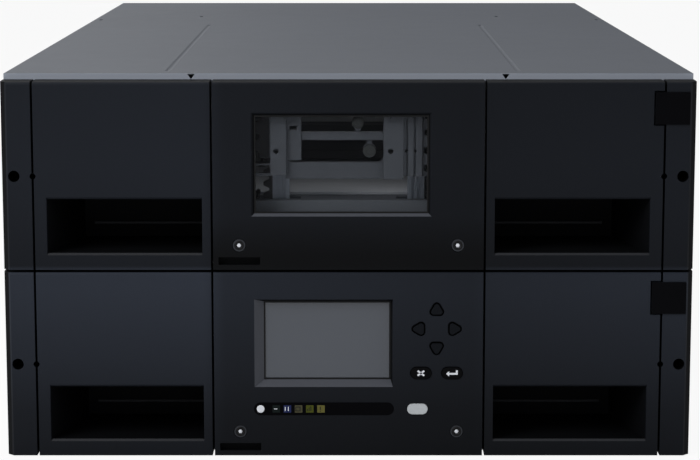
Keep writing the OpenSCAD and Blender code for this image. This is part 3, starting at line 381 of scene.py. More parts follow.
look = {
    "front": frontPlastic("frontPlastic", tone(24, 27, 33)),
    "cover": powderPaint("coverPaint", tone(82, 85, 91), 0.62, lipLightShare=3.2),
    "chassis": zincPlate("chassisZinc", tone(176, 180, 182)),
    "bare": sheetSteel("magazineSheet", tone(168, 170, 172)),
    # painted light and shade: the robot's parts are all light grey, but the bracket is set
    # darker as painted shade and the deck near white as painted light
    "robot": robotMetal("robotCastingShaded", tone(78, 82, 88)),
    "rail": robotMetal("robotRail", tone(74, 78, 84), footLightShare=5.0),
    "beam": robotMetal("robotBeam", tone(102, 107, 114)),
    "deck": powderPaint("deckPaintLit", tone(205, 209, 216), 0.6),
    "black": mouldedPlastic("blackPlastic", tone(24, 25, 27), 0.45),
    "sled": powderPaint("sledPaint", tone(40, 41, 44), 0.5),
    "supply": zincPlate("supplyZinc", tone(165, 168, 168)),
    "badge": glossBlack("badgeGloss", (0.0015, 0.0015, 0.002, 1.0), 0.3),
    # painted highlight: lighter plastic on the window and display slopes
    "slopeHighlight": mouldedPlastic("slopeHighlightPlastic", tone(68, 70, 76), 0.4),
    # painted highlight: lighter plastic for the pockets' edges and ribs
    "sill": mouldedPlastic("sillHighlightPlastic", tone(38, 39, 42), 0.4),
    "bolt": sheetSteel("boltZinc", tone(62, 64, 68), 0.4, grainAlong=anyWay, metallic=0.9),
    "lens": glossBlack("lensGloss", (0.0008, 0.0008, 0.0012, 1.0), 0.14),
    "pane": smokedPane("windowPane"),
    "screen": displayGlass("displayGlass"),
    "board": circuitBoard("circuitBoard"),
    "keyDark": keyRubber("arrowKeyRubber", tone(15, 17, 21)),
    "keyBlack": keyRubber("ovalKeyBlack", tone(4, 4, 5)),
    "lamps": statusLamps("statusLamps", "status_lights"),
    "keyWhite": mouldedPlastic("powerKeyWhite", tone(176, 180, 182), 0.35, edge=0.0008),
    "screw": sheetSteel("screwZinc", tone(104, 108, 112), 0.4, grainAlong=anyWay,
                        metallic=0.9),
    "tyre": mouldedPlastic("rollerTyre", tone(50, 53, 53), 0.5),
    "symbol": mouldedPlastic("whiteSymbol", tone(215, 217, 222), 0.5),
    "dark": mouldedPlastic("socketDark", tone(10, 10, 11), 0.55),
    "gold": sheetSteel("contactGold", tone(190, 150, 70), 0.3, grainAlong=(40.0, 1.0, 40.0),
                       metallic=1.0),
    "lampGreen": glowing("lampGreen", tone(40, 150, 70), 0.2),
}
print("materials made:", len(look))

nodeLooks = {
    "front": ["upper_left_ear", "upper_right_ear", "lower_left_ear", "lower_right_ear",
              "window_panel", "control_panel", "upper_left_front", "upper_right_front",
              "lower_left_front", "lower_right_front"],
    "cover": ["top_cover", "left_side_cover", "right_side_cover"],
    "chassis": ["base_chassis", "expansion_chassis", "base_rear_panel",
                "expansion_rear_panel", "drive_cages", "bay_covers", "magazine_locks"],
    "bare": ["upper_left_magazine", "upper_right_magazine", "lower_left_magazine",
             "lower_right_magazine", "gripper"],
    "robot": ["window_bracket"], "rail": ["front_rails"], "beam": ["lift_platform"],
    "deck": ["shuttle"],
    "black": ["upper_left_combs", "upper_right_combs", "lower_left_combs",
              "lower_right_combs", "magazine_guides", "lift_racks", "left_lift_shaft",
              "right_lift_shaft", "picker", "base_fan", "expansion_fan"],
    "sled": ["lower_drive", "middle_drive", "expansion_drive"],
    "supply": ["base_power_supply", "expansion_power_supply", "controller_card"],
    "badge": ["badges"], "lens": ["indicator_lens"], "lamps": ["status_lights"],
    "pane": ["window_pane"], "screen": ["display"], "board": ["control_board"],
    "keyDark": ["up_key", "down_key", "left_key", "right_key"],
    "keyBlack": ["cancel_key", "enter_key"], "keyWhite": ["power_button"],
    "bolt": ["panel_screws"],
}

for lookName, nodes in nodeLooks.items():
    for nodeName in nodes:
        nodeObject = bpy.data.objects[nodeName]
        nodeObject.data.materials.clear()
        nodeObject.data.materials.append(look[lookName])
print("CAD nodes dressed")


cameraSetup = {
    # metres from the front face and above the ground, degrees down, and millimetres
    "distance": 1.5800, "height": 0.4105, "aside": 0.0011, "pitch": 8.92, "lens": 118.0,
    "sensor": 36.0}

camera = bpy.data.cameras.new("camera")
camera.lens = cameraSetup["lens"]
camera.sensor_width = cameraSetup["sensor"]
cameraObject = bpy.data.objects.new("camera", camera)
cameraObject.location = (cameraSetup["aside"], boxLow.y - cameraSetup["distance"],
                         cameraSetup["height"])
cameraObject.rotation_euler = (math.radians(90 - cameraSetup["pitch"]), 0, 0)
bpy.context.scene.collection.objects.link(cameraObject)
bpy.context.scene.camera = cameraObject
bpy.context.scene.view_settings.view_transform = "Standard"


studioLamps = {
    # name: (place, aim, width, height, power in watts)
    "keyLamp": ((-1.5, -1.7, 1.5), (0.0, -0.2, 0.15), 1.2, 1.0, 38.0),
    "fillLamp": ((1.9, -1.4, 1.0), (0.0, -0.2, 0.15), 1.2, 1.0, 6.0),
    "topLamp": ((-0.3, 0.3, 2.1), (0.0, 0.0, 0.25), 1.6, 1.6, 15.0),
    "rearLamp": ((-0.8, 2.1, 1.1), (0.0, 0.3, 0.15), 1.2, 1.0, 5.0),
    "insideLamp": ((0.0, -0.385, 0.262), (0.0, -0.375, 0.1), 0.12, 0.03, 0.012),
}

for lampName, (spot, aim, width, height, power) in studioLamps.items():
    light = bpy.data.lights.new(lampName, "AREA")
    light.shape = "RECTANGLE"
    light.size, light.size_y, light.energy = width, height, power
    lamp = bpy.data.objects.new(lampName, light)
    lamp.location = spot
    lamp.rotation_euler = (Vector(aim) - Vector(spot)).to_track_quat("-Z", "Y").to_euler()
    bpy.context.scene.collection.objects.link(lamp)


ground = {"half": 30.0, "drop": 0.0002, "colour": (0.72, 0.72, 0.73, 1), "white": 0.92,
          "mirrored": 0.15}


def whiteGround(name):
    # plain to the light, near white to the camera and through glass, and a little in mirrors
    finish = Finish(name)
    seen, mirrored, through = (
        finish.node("ShaderNodeLightPath", out=ray)
        for ray in ("Is Camera Ray", "Is Glossy Ray", "Is Transmission Ray"))
    plain = finish.node("ShaderNodeBsdfDiffuse", None, {"Color": ground["colour"]})
    white = finish.node("ShaderNodeEmission", None, {"Color": (1, 1, 1, 1), "Strength": 1.0})
    share = seen.math("MAXIMUM", through) * ground["white"] + mirrored * ground["mirrored"]
    mixed = finish.node("ShaderNodeMixShader", None, {0: share, 1: plain, 2: white})
    finish.node("ShaderNodeOutputMaterial", None, {"Surface": mixed})
    return finish.material


floorMesh = bpy.data.meshes.new("floor")
floorMesh.from_pydata([(x * ground["half"], y * ground["half"], 0)
                       for x, y in ((-1, -1), (1, -1), (1, 1), (-1, 1))], [], [(0, 1, 2, 3)])
floor = bpy.data.objects.new("floor", floorMesh)
floor.location.z = boxLow.z - ground["drop"]
floorMesh.materials.append(whiteGround("floorWhite"))
bpy.context.scene.collection.objects.link(floor)

skyLight = {"colour": (0.93, 0.96, 1.0, 1), "strength": 0.42}
world = bpy.data.worlds.new("studio")
bpy.context.scene.world = world
world.use_nodes = True
sky = world.node_tree
sky.nodes.clear()
rays = sky.nodes.new("ShaderNodeLightPath")
soft = sky.nodes.new("ShaderNodeBackground")
soft.inputs["Color"].default_value = skyLight["colour"]
soft.inputs["Strength"].default_value = skyLight["strength"]
plainWhite = sky.nodes.new("ShaderNodeBackground")
plainWhite.inputs["Color"].default_value = (1, 1, 1, 1)
either = sky.nodes.new("ShaderNodeMixShader")
skyOut = sky.nodes.new("ShaderNodeOutputWorld")
sky.links.new(rays.outputs["Is Camera Ray"], either.inputs[0])
sky.links.new(soft.outputs[0], either.inputs[1])
sky.links.new(plainWhite.outputs[0], either.inputs[2])
sky.links.new(either.outputs[0], skyOut.inputs["Surface"])
print("camera, lamps and floor set")


class Shape:
    # gathers bevelled blocks, prisms and turned forms into one mesh
    def __init__(self):
        self.mesh = bmesh.new()

    def slab(self, first, last, bevel=0.0):
        low, high = Vector(first), Vector(last)
        made = bmesh.ops.create_cube(self.mesh, size=1.0)["verts"]
        for point in made:
            point.co = (low + high) / 2 + Vector(a * b for a, b in zip(point.co, high - low))
        self.soften(made, bevel)
        return self

    def prism(self, outline, front, back):
        # an outline in X and Z, drawn from front to back
        near = [self.mesh.verts.new((x, front, z)) for x, z in outline]
        far = [self.mesh.verts.new((x, back, z)) for x, z in outline]
        self.mesh.faces.new(near)
        self.mesh.faces.new(far[::-1])
        for i, point in enumerate(near):
            self.mesh.faces.new((near[i - 1], point, far[i], far[i - 1])[::-1])
        bmesh.ops.recalc_face_normals(self.mesh, faces=self.mesh.faces[-len(near) - 2:])
        return self

    def turned(self, centre, profile, sides=24):
        # a profile of (radius, depth) pairs turned round a line along Y
        x, y, z = centre
        rings = []
        for radius, depth in profile:
            ring = []
            for i in range(sides):
                angle = 2 * math.pi * i / sides
                ring.append(self.mesh.verts.new((x + radius * math.cos(angle), y + depth,
                                                 z + radius * math.sin(angle))))
            rings.append(ring)
        for one, two in zip(rings, rings[1:]):
            for i in range(sides):
                self.mesh.faces.new((one[i - 1], one[i], two[i], two[i - 1]))
        self.mesh.faces.new(rings[0][::-1])
        self.mesh.faces.new(rings[-1])
        return self

    def strip(self, front, back, thick):
        # a thin plate between two edges of two points each, its face lifted by thick and its
        # back sunk by a fifth of that
        points = [Vector(point) for point in (*front, *reversed(back))]
        up = (points[1] - points[0]).cross(points[2] - points[1]).normalized() * thick
        lower = [self.mesh.verts.new(point - up * 0.2) for point in points]
        upper = [self.mesh.verts.new(point + up) for point in points]
        self.mesh.faces.new(lower[::-1])
        self.mesh.faces.new(upper)
        for i in range(4):
            self.mesh.faces.new((lower[i - 1], lower[i], upper[i], upper[i - 1]))
        return self

    def soften(self, points, bevel):
        if bevel:
            edges = dict.fromkeys(edge for point in points for edge in point.link_edges)
            bmesh.ops.bevel(self.mesh, geom=list(edges), offset=bevel, segments=2,
                            profile=0.6, affect="EDGES")

    def border(self, first, last, rim, bevel=0.0):
        # four bars round an opening that faces the front
        (x0, y0, z0), (x1, y1, z1) = first, last
        self.slab((x0, y0, z0), (x1, y1, z0 + rim), bevel)
        self.slab((x0, y0, z1 - rim), (x1, y1, z1), bevel)
        self.slab((x0, y0, z0 + rim), (x0 + rim, y1, z1 - rim), bevel)
        self.slab((x1 - rim, y0, z0 + rim), (x1, y1, z1 - rim), bevel)
        return self

    def toMesh(self, name):
        mesh = bpy.data.meshes.new(name)
        self.mesh.to_mesh(mesh)
        self.mesh.free()
        return mesh

    def piece(self, name, finish, body, slotName):
        bmesh.ops.recalc_face_normals(self.mesh, faces=self.mesh.faces)
        settle(name, self.toMesh(name), finish, body)


def settle(name, mesh, finish, body):
    # one finished piece, on its body
    for polygon in mesh.polygons:
        polygon.use_smooth = False
    mesh.materials.clear()
    mesh.materials.append(look[finish])
    made = bpy.data.objects.new(name, mesh)
    bpy.context.scene.collection.objects.link(made)
    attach(made, body)


keySign = {
    # metres from the middle of a key's face
    "depth": 0.00015, "half": 0.00065,  # half a stroke
    "wide": 0.0023, "tall": 0.0017,  # half the cross
    "left": -0.0042, "tip": -0.0020, "right": 0.0040, "rise": 0.0025,  # the hooked arrow
    "head": 0.0019, "drop": 0.0004,
}


def crossMark(nodeName):
    centre, face = middle(nodeName), corners(nodeName)[0].y
    shape = Shape()
    for side in (-1, 1):
        along = Vector((side * keySign["wide"], keySign["tall"]))
        across = Vector((-along.y, along.x)).normalized() * keySign["half"]
        outline = [along + across, -along + across, -along - across, along - across]
        shape.prism([(centre.x + point.x, centre.z + point.y) for point in outline],
                    face - keySign["depth"], face + keySign["depth"])
    shape.piece("cancelMark", "symbol", "cancel_key_body", "lights")


def enterMark(nodeName):
    centre, face = middle(nodeName), corners(nodeName)[0].y
    y0, y1 = face - keySign["depth"], face + keySign["depth"]
    z, half, head = centre.z - keySign["drop"], keySign["half"], keySign["head"]
    left, tip, right = (centre.x + keySign[word] for word in ("left", "tip", "right"))
    shape = Shape()
    shape.prism([(left, z), (tip, z - head), (tip, z + head)], y0, y1)
    shape.slab((tip, y0, z - half), (right, y1, z + half))
    shape.slab((right - 2 * half, y0, z + half), (right, y1, z + keySign["rise"]))
    shape.piece("enterMark", "symbol", "enter_key_body", "lights")


crossMark("cancel_key")
enterMark("enter_key")
print("key marks made")


window = {"seal": 0.0011, "sealDepth": 0.0006, "lap": 0.003, "bevel": 0.0022, "skin": 0.0001,
          "hover": 0.00002}  # hover keeps a trim off the glass behind it


def paneSeal():
    low, high = corners("window_pane")
    lap = window["lap"] - window["skin"]
    first = (low.x + lap, low.y - window["sealDepth"], low.z + lap)
    last = (high.x - lap, low.y - window["hover"], high.z - lap)
    Shape().border(first, last, window["seal"]).piece(
        "paneSeal", "dark", "library", "black_plastic")


def windowSill():
    # a lighter strip on the slope under the window, a painted highlight where the slope catches
    # the light
    low, high = corners("window_pane")
    face = panelLow.y
    lap, bevel = window["lap"], window["bevel"]
    x0, x1, z = low.x + lap, high.x - lap, low.z + lap
    front = [(x0 - bevel, face, z - bevel), (x1 + bevel, face, z - bevel)]
    back = [(x0, low.y, z), (x1, low.y, z)]
    Shape().strip(front, back, window["skin"]).piece(
        "windowSill", "slopeHighlight", "library", "front_plastic")


tyres = {
    # each roller's way in from the window's right edge, its rise from the sill, its radius
    "spots": ((0.0513, 0.065, 0.0042), (0.0432, 0.045, 0.0046)),
    # shares of the radius, and depths from the bracket's face
    "profile": ((0.45, -0.0006), (0.5, -0.0009), (0.9, -0.0009), (1.02, -0.0002),
                (1.02, 0.002)),
    "sides": 28,
}


def rollerTyres():
    # rubber discs on the two rollers that hang behind the window
    low, high = corners("window_pane")
    right = high.x - window["lap"] + window["bevel"]
    sill = low.z + window["lap"] - window["bevel"]
    shape = Shape()
    for inward, rise, radius in tyres["spots"]:
        shape.turned((right - inward, bracketLow.y, sill + rise),
                     [(radius * share, depth) for share, depth in tyres["profile"]],
                     tyres["sides"])
    shape.piece("rollerTyres", "tyre", "library", "black_plastic")


screen = {"lap": 0.0015, "rim": 0.0011, "rimDepth": 0.0007,
          # the slopes' widths, and how far in they reach
          "left": 0.0065, "low": 0.0044, "right": 0.0015, "top": 0.0022, "deep": 0.005}


def screenBorder():
    low, high = corners("display")
    lap = screen["lap"]
    first = (low.x + lap, low.y - screen["rimDepth"], low.z + lap)
    last = (high.x - lap, low.y - window["hover"], high.z - lap)
    Shape().border(first, last, screen["rim"]).piece(
        "screenBorder", "dark", "library", "black_plastic")


def screenSlopes():
    # lighter strips on the wide slopes left of and under the display, as painted highlights
    low, high = corners("display")
    face = corners("control_panel")[0].y
    lap, back, skin = screen["lap"], face + screen["deep"], window["skin"]
    x0, x1, z0, z1 = low.x + lap, high.x - lap, low.z + lap, high.z - lap
    outX, outZ = x0 - screen["left"], z0 - screen["low"]
    shape = Shape()
    shape.strip([(outX, face, outZ), (x1 + screen["right"], face, outZ)],
                [(x0, back, z0), (x1, back, z0)], skin)
    shape.strip([(outX, face, z1 + screen["top"]), (outX, face, outZ)],
                [(x0, back, z1), (x0, back, z0)], skin)
    shape.piece("screenSlopes", "slopeHighlight", "library", "front_plastic")


for trim in (paneSeal, windowSill, rollerTyres, screenBorder, screenSlopes):
    trim()
print("window and display trimmed")


lampRow = {
    "icon": 0.0062, "pitch": 0.0079, "thick": 0.00008, "discIn": 0.00145,
    "disc": ((0.0027, 0.0001), (0.0027, -0.0003), (0.0022, -0.0005)),  # (radius, depth)
    # on each lamp, bars of (across, up, wide, tall) in millimetres
    "marks": (
        ("pale", ((0, 0, 2.4, 0.5),)),
        ("pale", ((-1.1, 0, 0.5, 3.0), (1.1, 0, 0.5, 3.0))),
        ("deep", ((0, 1.4, 3.4, 0.5), (0, -1.4, 3.4, 0.5), (-1.5, 0, 0.5, 2.6),
                  (1.5, 0, 0.5, 2.6))),
        ("deep", ((-1.2, -0.8, 0.5, 1.6), (0, -0.3, 0.5, 2.6), (1.2, 0.2, 0.5, 3.6))),
        ("deep", ((0, 0.5, 0.6, 2.4), (0, -1.6, 0.6, 0.6)))),
}


def lampMarks():
    # a white disc, then small plain marks on the lamps: bars in a different count on each
    low, high = corners("status_lights")
    rise = middle("status_lights").z
    Shape().turned((low.x + lampRow["discIn"], low.y, rise), lampRow["disc"],
                   sides=28).piece("powerLamp", "symbol", "library", "lights")
    shapes = {"pale": Shape(), "deep": Shape()}
    lift = Vector((0, lampRow["thick"], 0))
    for i, (shade, bars) in enumerate(reversed(lampRow["marks"])):
        x = high.x - lampRow["icon"] / 2 - i * lampRow["pitch"]
        for across, up, wide, tall in bars:
            spot = Vector((x + across / 1000, low.y, rise + up / 1000))
            half = Vector((wide / 2, 0, tall / 2)) / 1000
            shapes[shade].slab(spot - half - lift, spot + half + lift)
    shapes["pale"].piece("lampMarksPale", "symbol", "library", "lights")
    shapes["deep"].piece("lampMarksDeep", "dark", "library", "lights")


lampMarks()


frontScrew = {
    "head": 0.0044,  # radius, and below pairs of radius and depth
    "ring": ((0.0034, 0.0002), (0.0034, -0.0002), (0.0031, -0.0004), (0.0023, -0.0004),
             (0.0020, -0.0002), (0.0020, 0.0002)),
    "button": ((0.0015, 0.0018), (0.0015, 0.0), (0.0009, -0.0005)),
}


def frontScrews():
    # in each panel screw, a dark ring as painted shade in its recess and a bright hexagon
    # button as a painted highlight
    low, high = corners("panel_screws")
    head = frontScrew["head"]
    rings, highlightButtons = Shape(), Shape()
    for x in (low.x + head, high.x - head):
        for z in (low.z + head, high.z - head):
            rings.turned((x, low.y, z), frontScrew["ring"])
            highlightButtons.turned((x, low.y, z), frontScrew["button"], sides=6)
    rings.piece("screwRings", "dark", "library", "screw_metal")
    highlightButtons.piece("screwButtons", "symbol", "library", "screw_metal")


frontScrews()


pocket = {
    "inner": 0.00595, "outer": 0.00845, "floor": 0.01175,  # in from the front's edges
    "chamfer": 0.0014, "deep": 0.077, "taper": 0.018, "skin": 0.0001,
    "strip": (0.0092, 0.0108), "ends": (0.002, 0.007),  # on the back wall
    "stripY": (-0.0006, 0.0002), "stripBevel": 0.0002,
}


def pocketTrim(word, side):
    # painted highlights: a lighter skin on the lower edge of a pocket, and a thin rib low on
    # its back wall whose lighter plastic is a painted highlight
    low, high = corners(word + "_front")
    near, far = (low.x, high.x) if side > 0 else (high.x, low.x)
    inner, outer = near + side * pocket["inner"], far - side * pocket["outer"]
    edge, floorZ = pocket["chamfer"], low.z + pocket["floor"]
    x0, x1 = sorted((inner, outer))
    name = "".join(part.capitalize() for part in word.split("_"))
    Shape().strip([(x0, low.y, floorZ - edge), (x1, low.y, floorZ - edge)],
                  [(x0, low.y + edge, floorZ), (x1, low.y + edge, floorZ)],
                  pocket["skin"]).piece(
        "pocketSill" + name, "sill", word + "_drawer", "front_plastic")
    x0, x1 = sorted((inner + side * pocket["ends"][0],
                     outer - side * (pocket["taper"] + pocket["ends"][1])))
    back = low.y + pocket["deep"]
    Shape().slab((x0, back + pocket["stripY"][0], floorZ + pocket["strip"][0]),
                 (x1, back + pocket["stripY"][1], floorZ + pocket["strip"][1]),
                 pocket["stripBevel"]).piece(
        "pocketStrip" + name, "sill", word + "_drawer", "front_plastic")


for word in ("upper_left", "upper_right", "lower_left", "lower_right"):
    pocketTrim(word, 1 if word.endswith("right") else -1)
print("screws and pockets trimmed")


class Grower:
    # a Geometry Nodes tree with named inputs, run once on a mesh of points
    def __init__(self, name, inputs):
        self.tree = bpy.data.node_groups.new(name, "GeometryNodeTree")
        face = self.tree.interface
        face.new_socket("Geometry", in_out="INPUT", socket_type="NodeSocketGeometry")
        self.names = {}
        for label, kind in inputs.items():
            self.names[label] = face.new_socket(
                label, in_out="INPUT", socket_type="NodeSocket" + kind).identifier
        face.new_socket("Geometry", in_out="OUTPUT", socket_type="NodeSocketGeometry")
        self.entry = self.tree.nodes.new("NodeGroupInput")
        self.exit = self.tree.nodes.new("NodeGroupOutput")

    def given(self, label):
        return self.entry.outputs[label]

    def node(self, kind, settings=None, values=None, out=0):
        made = self.tree.nodes.new(kind if kind.startswith("Shader") else "GeometryNode" + kind)
        for name, setting in (settings or {}).items():
            setattr(made, name, setting)
        for key, value in (values or {}).items():
            if isinstance(value, bpy.types.NodeSocket):
                self.tree.links.new(value, made.inputs[key])
            else:
                made.inputs[key].default_value = value
        return made.outputs[out]

    def joined(self, *parts):
        whole = self.tree.nodes.new("GeometryNodeJoinGeometry")
        for part in parts:
            self.tree.links.new(part, whole.inputs[0])
        return whole.outputs[0]

    def spread(self, thing, turn):
        # the thing on each point of the mesh, and the tree's end
        placed = self.node("InstanceOnPoints", None, {
            "Points": self.given("Geometry"), "Instance": thing, "Rotation": turn})
        solid = self.node("RealizeInstances", None, {0: placed})
        painted = self.node("SetMaterial", None, {0: solid, "Material": self.given("Finish")})
        self.tree.links.new(painted, self.exit.inputs[0])
        return self

    def grow(self, name, points, values, finish, body, slotName):
        seeds = bpy.data.meshes.new(name + "Points")
        seeds.from_pydata([tuple(point) for point in points], [], [])
        holder = bpy.data.objects.new(name + "Holder", seeds)
        bpy.context.scene.collection.objects.link(holder)
        modifier = holder.modifiers.new("grow", "NODES")
        modifier.node_group = self.tree
        for label, value in values.items():
            modifier[self.names[label]] = value
        modifier[self.names["Finish"]] = look[finish]
        ready = holder.evaluated_get(bpy.context.evaluated_depsgraph_get())
        mesh = bpy.data.meshes.new_from_object(ready)
        mesh.name = name
        holder.modifiers.remove(modifier)
        bpy.data.objects.remove(holder)
        settle(name, mesh, finish, body)


faceRear = (math.radians(90), 0, 0)  # turns what stands up to face along Y


def ridgedKnobs():
    # a round knob with ridges along it, facing the rear, on each point
    grower = Grower("ridgedKnobs", {"Radius": "Float", "Length": "Float", "Ridges": "Int",
                                    "Ridge": "Float", "Finish": "Material"})
    core = grower.node("MeshCylinder", None, {
        "Vertices": 24, "Radius": grower.given("Radius"), "Depth": grower.given("Length")})
    circle = grower.node("MeshCircle", None, {
        "Vertices": grower.given("Ridges"), "Radius": grower.given("Radius")})
    ridge = grower.node("MeshCylinder", None, {
        "Vertices": 6, "Radius": grower.given("Ridge"), "Depth": grower.given("Length")})
    ridges = grower.node("InstanceOnPoints", None, {"Points": circle, "Instance": ridge})
    return grower.spread(grower.joined(core, ridges), faceRear)


def wireRings():
    # rings of wire round each point, one step further out each time
    grower = Grower("wireRings", {"Rings": "Int", "First": "Float", "Step": "Float",
                                  "Wire": "Float", "Finish": "Material"})
    line = grower.node("MeshLine", None, {
        "Count": grower.given("Rings"), "Offset": (0, 0, 0)})
    radius = grower.node("ShaderNodeMath", {"operation": "MULTIPLY_ADD"}, {
        0: grower.node("InputIndex"), 1: grower.given("Step"), 2: grower.given("First")})
    circle = grower.node("CurvePrimitiveCircle", None, {"Resolution": 40, "Radius": 1.0})
    rings = grower.node("InstanceOnPoints", None, {
        "Points": line, "Instance": circle, "Scale": radius})
    curves = grower.node("RealizeInstances", None, {0: rings})
    section = grower.node("CurvePrimitiveCircle", None, {
        "Resolution": 6, "Radius": grower.given("Wire")})
    wire = grower.node("CurveToMesh", None, {"Curve": curves, "Profile Curve": section})
    return grower.spread(wire, faceRear)


def panHeads():
    # the same small screw on each point, turned the way it faces
    grower = Grower("panHeads", {"Screw": "Object", "Facing": "Vector",
                                 "Finish": "Material"})
    screw = grower.node("ObjectInfo", None, {0: grower.given("Screw")}, out="Geometry")
    return grower.spread(screw, grower.given("Facing"))


panHead = {
    "head": ((0.0026, 0), (0.0026, -0.0005), (0.0022, -0.00095), (0.0014, -0.0012)),
    "bar": (0.0011, 0.00028),  # half a bar of the cross, long and wide
    "barY": (-0.00124, -0.00118), "sides": 20,
}


def screwPattern():
    # a pan head with a cross on it, facing the front, its seat at the origin
    shape = Shape()
    shape.turned((0, 0, 0), panHead["head"], panHead["sides"])
    (front, back), bar = panHead["barY"], panHead["bar"]
    for halfX, halfZ in (bar[::-1], bar):
        shape.slab((-halfX, front, -halfZ), (halfX, back, halfZ))
    return bpy.data.objects.new("screwPattern", shape.toMesh("screwPattern"))


rearFace = corners("base_rear_panel")[1].y
largeKnob = {"Radius": 0.0038, "Length": 0.0085, "Ridges": 22, "Ridge": 0.0004}
smallKnob = {"Radius": 0.003, "Length": 0.006, "Ridges": 22, "Ridge": 0.0004}
slack = 0.0002  # round what sits in a hole of the CAD part
knobs = ridgedKnobs()
rings = wireRings()


sled = {
    # X from the library's middle, where the sleds are, Z from a sled's middle, and Y from
    # its flange
    "flange": 0.002, "knobX": 0.0685,
    "portX": (-0.062, -0.052), "portW": 0.007, "portHalf": 0.006, "portRim": 0.0006,
    "portY": (-0.012, 0.0012),
    "tongueX": (0.0022, 0.0048), "tongueY": (-0.011, -0.004), "tongueHalf": 0.0042,
    "bevel": 0.0002,
    "ledX": (-0.034, -0.029, -0.024), "ledRise": 0.012,
    "led": ((0.0011, -0.0004), (0.0011, 0.0003), (0.00066, 0.0008)),
}


def driveTrim(nodeName):
    rise = middle(nodeName).z
    face = rearFace + sled["flange"]
    word, body = nodeName.split("_")[0] + "Drive", nodeName + "_body"
    knobs.grow(word + "Knobs", [(side * sled["knobX"], face + largeKnob["Length"] / 2, rise)
                                for side in (-1, 1)],
               largeKnob, "screw", body, "screw_metal")
    ports, leds = Shape(), Shape()
    half = sled["portHalf"] - slack
    for x in sled["portX"]:
        ports.border((x + slack, face + sled["portY"][0], rise - half),
                     (x + sled["portW"] - slack, face + sled["portY"][1], rise + half),
                     sled["portRim"])
        ports.slab((x + sled["tongueX"][0], face + sled["tongueY"][0],
                    rise - sled["tongueHalf"]),
                   (x + sled["tongueX"][1], face + sled["tongueY"][1],
                    rise + sled["tongueHalf"]), sled["bevel"])
    ports.piece(word + "Ports", "screw", body, "supply_metal")
    for x in sled["ledX"]:
        leds.turned((x, face, rise + sled["ledRise"]), sled["led"], sides=12)
    leds.piece(word + "Lamps", "lampGreen", body, "lights")


for nodeName in ("lower_drive", "middle_drive", "expansion_drive"):
    driveTrim(nodeName)
print("drive sleds trimmed")


supply = {
    # X from the supply's sides, Y from its face, Z from its middle or its top
    "face": 0.0015, "inletIn": 0.018, "inletHalf": (0.012, 0.009), "slack": 0.0001,
    "inletY": (-0.014, 0.0012), "inletRim": 0.0018, "inletBevel": 0.0003,
    "backY": (-0.0145, -0.0125), "backIn": 0.0004,
    "pins": ((-0.0055, -0.0015), (0.0, 0.002), (0.0055, -0.0015)),  # across and up
    "pinHalf": (0.0004, 0.0021), "pinY": (-0.0126, -0.003), "pinBevel": 0.0001,
    "fanIn": 0.024, "guardY": 0.0006,
    "guard": {"Rings": 6, "First": 0.0035, "Step": 0.0026, "Wire": 0.00055},
    "knobIn": 0.0415, "knobY": 0.00225, "knobDrop": 0.006,
}


def supplyTrim(nodeName):
    low, high = corners(nodeName)
    rise = middle(nodeName).z
    word, body = nodeName.split("_")[0] + "Supply", nodeName + "_body"
    face = rearFace + supply["face"]
    inletX = high.x - supply["inletIn"]
    inlet, pins = Shape(), Shape()
    halfW, halfH = (half - supply["slack"] for half in supply["inletHalf"])
    inlet.border((inletX - halfW, face + supply["inletY"][0], rise - halfH),
                 (inletX + halfW, face + supply["inletY"][1], rise + halfH),
                 supply["inletRim"], supply["inletBevel"])
    halfW, halfH = (half - supply["backIn"] for half in supply["inletHalf"])
    inlet.slab((inletX - halfW, face + supply["backY"][0], rise - halfH),
               (inletX + halfW, face + supply["backY"][1], rise + halfH))
    inlet.piece(word + "Inlet", "dark", body, "black_plastic")
    halfW, halfH = supply["pinHalf"]
    for across, up in supply["pins"]:
        pins.slab((inletX + across - halfW, face + supply["pinY"][0], rise + up - halfH),
                  (inletX + across + halfW, face + supply["pinY"][1], rise + up + halfH),
                  supply["pinBevel"])
    pins.piece(word + "InletPins", "screw", body, "screw_metal")
    rings.grow(word + "Guard", [(low.x + supply["fanIn"], face + supply["guardY"], rise)],
               supply["guard"], "screw", body, "screw_metal")
    knobs.grow(word + "Knob", [(high.x - supply["knobIn"], face + supply["knobY"],
                                high.z - supply["knobDrop"])],
               smallKnob, "screw", body, "screw_metal")


for nodeName in ("base_power_supply", "expansion_power_supply"):
    supplyTrim(nodeName)


card = {
    # X and Z from the card's lower left corner or a socket's edges, Y from its face
    "face": 0.0015, "sockets": 3, "first": 0.008, "pitch": 0.020, "width": 0.015,
    "low": 0.006, "high": 0.019, "socketY": (-0.0052, 0.0006), "rim": 0.0012, "bevel": 0.0002,
    "backY": (-0.0054, -0.0046), "backIn": 0.0004,
    "contacts": 8, "contactIn": 0.0028, "contactHalf": 0.0003, "contactY": (-0.0047, -0.0012),
    "contactDrop": (0.0042, 0.0015),
    "lampIn": 0.002, "lampHalf": 0.001, "lampY": (-0.0002, 0.0003),
    "lampRise": (0.0016, 0.0028), "lampBevel": 0.0001,
    "knobIn": 0.006, "knobY": 0.003, "knobRise": 0.0245,
}


def spaced(first, last, count):
    return [first + (last - first) * i / (count - 1) for i in range(count)]


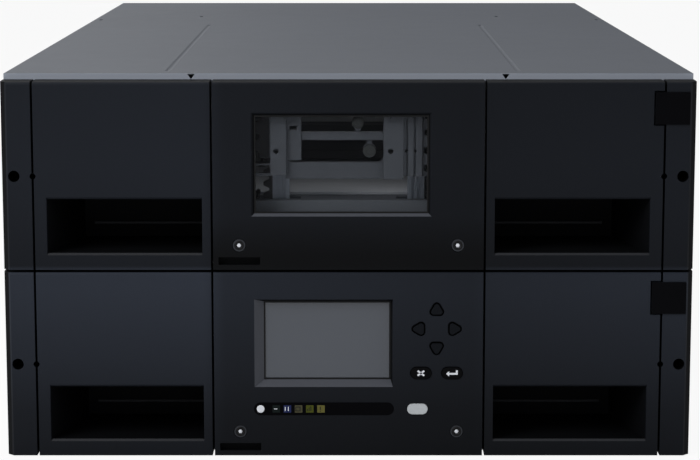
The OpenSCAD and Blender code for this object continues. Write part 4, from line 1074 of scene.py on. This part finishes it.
def cardTrim():
    low, high = corners("controller_card")
    face = rearFace + card["face"]
    sockets, contacts, lamps = Shape(), Shape(), Shape()
    z0, z1 = low.z + card["low"] + slack, low.z + card["high"] - slack
    for i in range(card["sockets"]):
        x0 = low.x + card["first"] + i * card["pitch"] + slack
        x1 = x0 + card["width"] - 2 * slack
        sockets.border((x0, face + card["socketY"][0], z0),
                       (x1, face + card["socketY"][1], z1), card["rim"], card["bevel"])
        sockets.slab((x0 + card["backIn"], face + card["backY"][0], z0 + card["backIn"]),
                     (x1 - card["backIn"], face + card["backY"][1], z1 - card["backIn"]))
        for x in spaced(x0 + card["contactIn"], x1 - card["contactIn"], card["contacts"]):
            contacts.slab((x - card["contactHalf"], face + card["contactY"][0],
                           z1 - card["contactDrop"][0]),
                          (x + card["contactHalf"], face + card["contactY"][1],
                           z1 - card["contactDrop"][1]))
        for x in (x0 + card["lampIn"], x1 - card["lampIn"]):
            lamps.slab((x - card["lampHalf"], face + card["lampY"][0],
                        z1 + card["lampRise"][0]),
                       (x + card["lampHalf"], face + card["lampY"][1],
                        z1 + card["lampRise"][1]), card["lampBevel"])
    body = "controller_card_body"
    sockets.piece("cardSockets", "dark", body, "black_plastic")
    contacts.piece("cardContacts", "gold", body, "screw_metal")
    lamps.piece("cardLamps", "lampGreen", body, "lights")
    knobs.grow("cardKnobs", [(x, face + card["knobY"], low.z + card["knobRise"])
                             for x in (low.x + card["knobIn"], high.x - card["knobIn"])],
               smallKnob, "screw", body, "screw_metal")


cardTrim()
print("power supplies and controller card trimmed")


fixing = {
    # in from a rear panel's sides, its lower edge and its top
    "rearIn": 0.005, "rearRise": 0.062, "rearDrop": 0.012, "rearCount": 3,
    "sideIn": 0.03, "sideRise": 0.012, "sideCount": 7,  # a side cover's two rows
}
screws = panHeads()
pattern = screwPattern()


def rearPanelScrews():
    spots = []
    for low, high in (corners("base_rear_panel"), corners("expansion_rear_panel")):
        for x in (low.x + fixing["rearIn"], high.x - fixing["rearIn"]):
            for z in spaced(low.z + fixing["rearRise"], high.z - fixing["rearDrop"],
                            fixing["rearCount"]):
                spots.append((x, rearFace, z))
    screws.grow("rearPanelScrews", spots, {"Screw": pattern, "Facing": (0, 0, math.pi)},
                "screw", "library", "screw_metal")


def coverScrews(word, side):
    low, high = corners("right_side_cover")
    rows = (fixing["sideRise"], fixing["sideRise"] + high.z / 2)
    spots = [(side * high.x, y, z) for z in rows
             for y in spaced(low.y + fixing["sideIn"], high.y - fixing["sideIn"],
                             fixing["sideCount"])]
    screws.grow(word + "CoverScrews", spots,
                {"Screw": pattern, "Facing": (0, 0, side * math.pi / 2)},
                "screw", "library", "screw_metal")


rearPanelScrews()
coverScrews("left", -1)
coverScrews("right", 1)
print("cover screws placed")
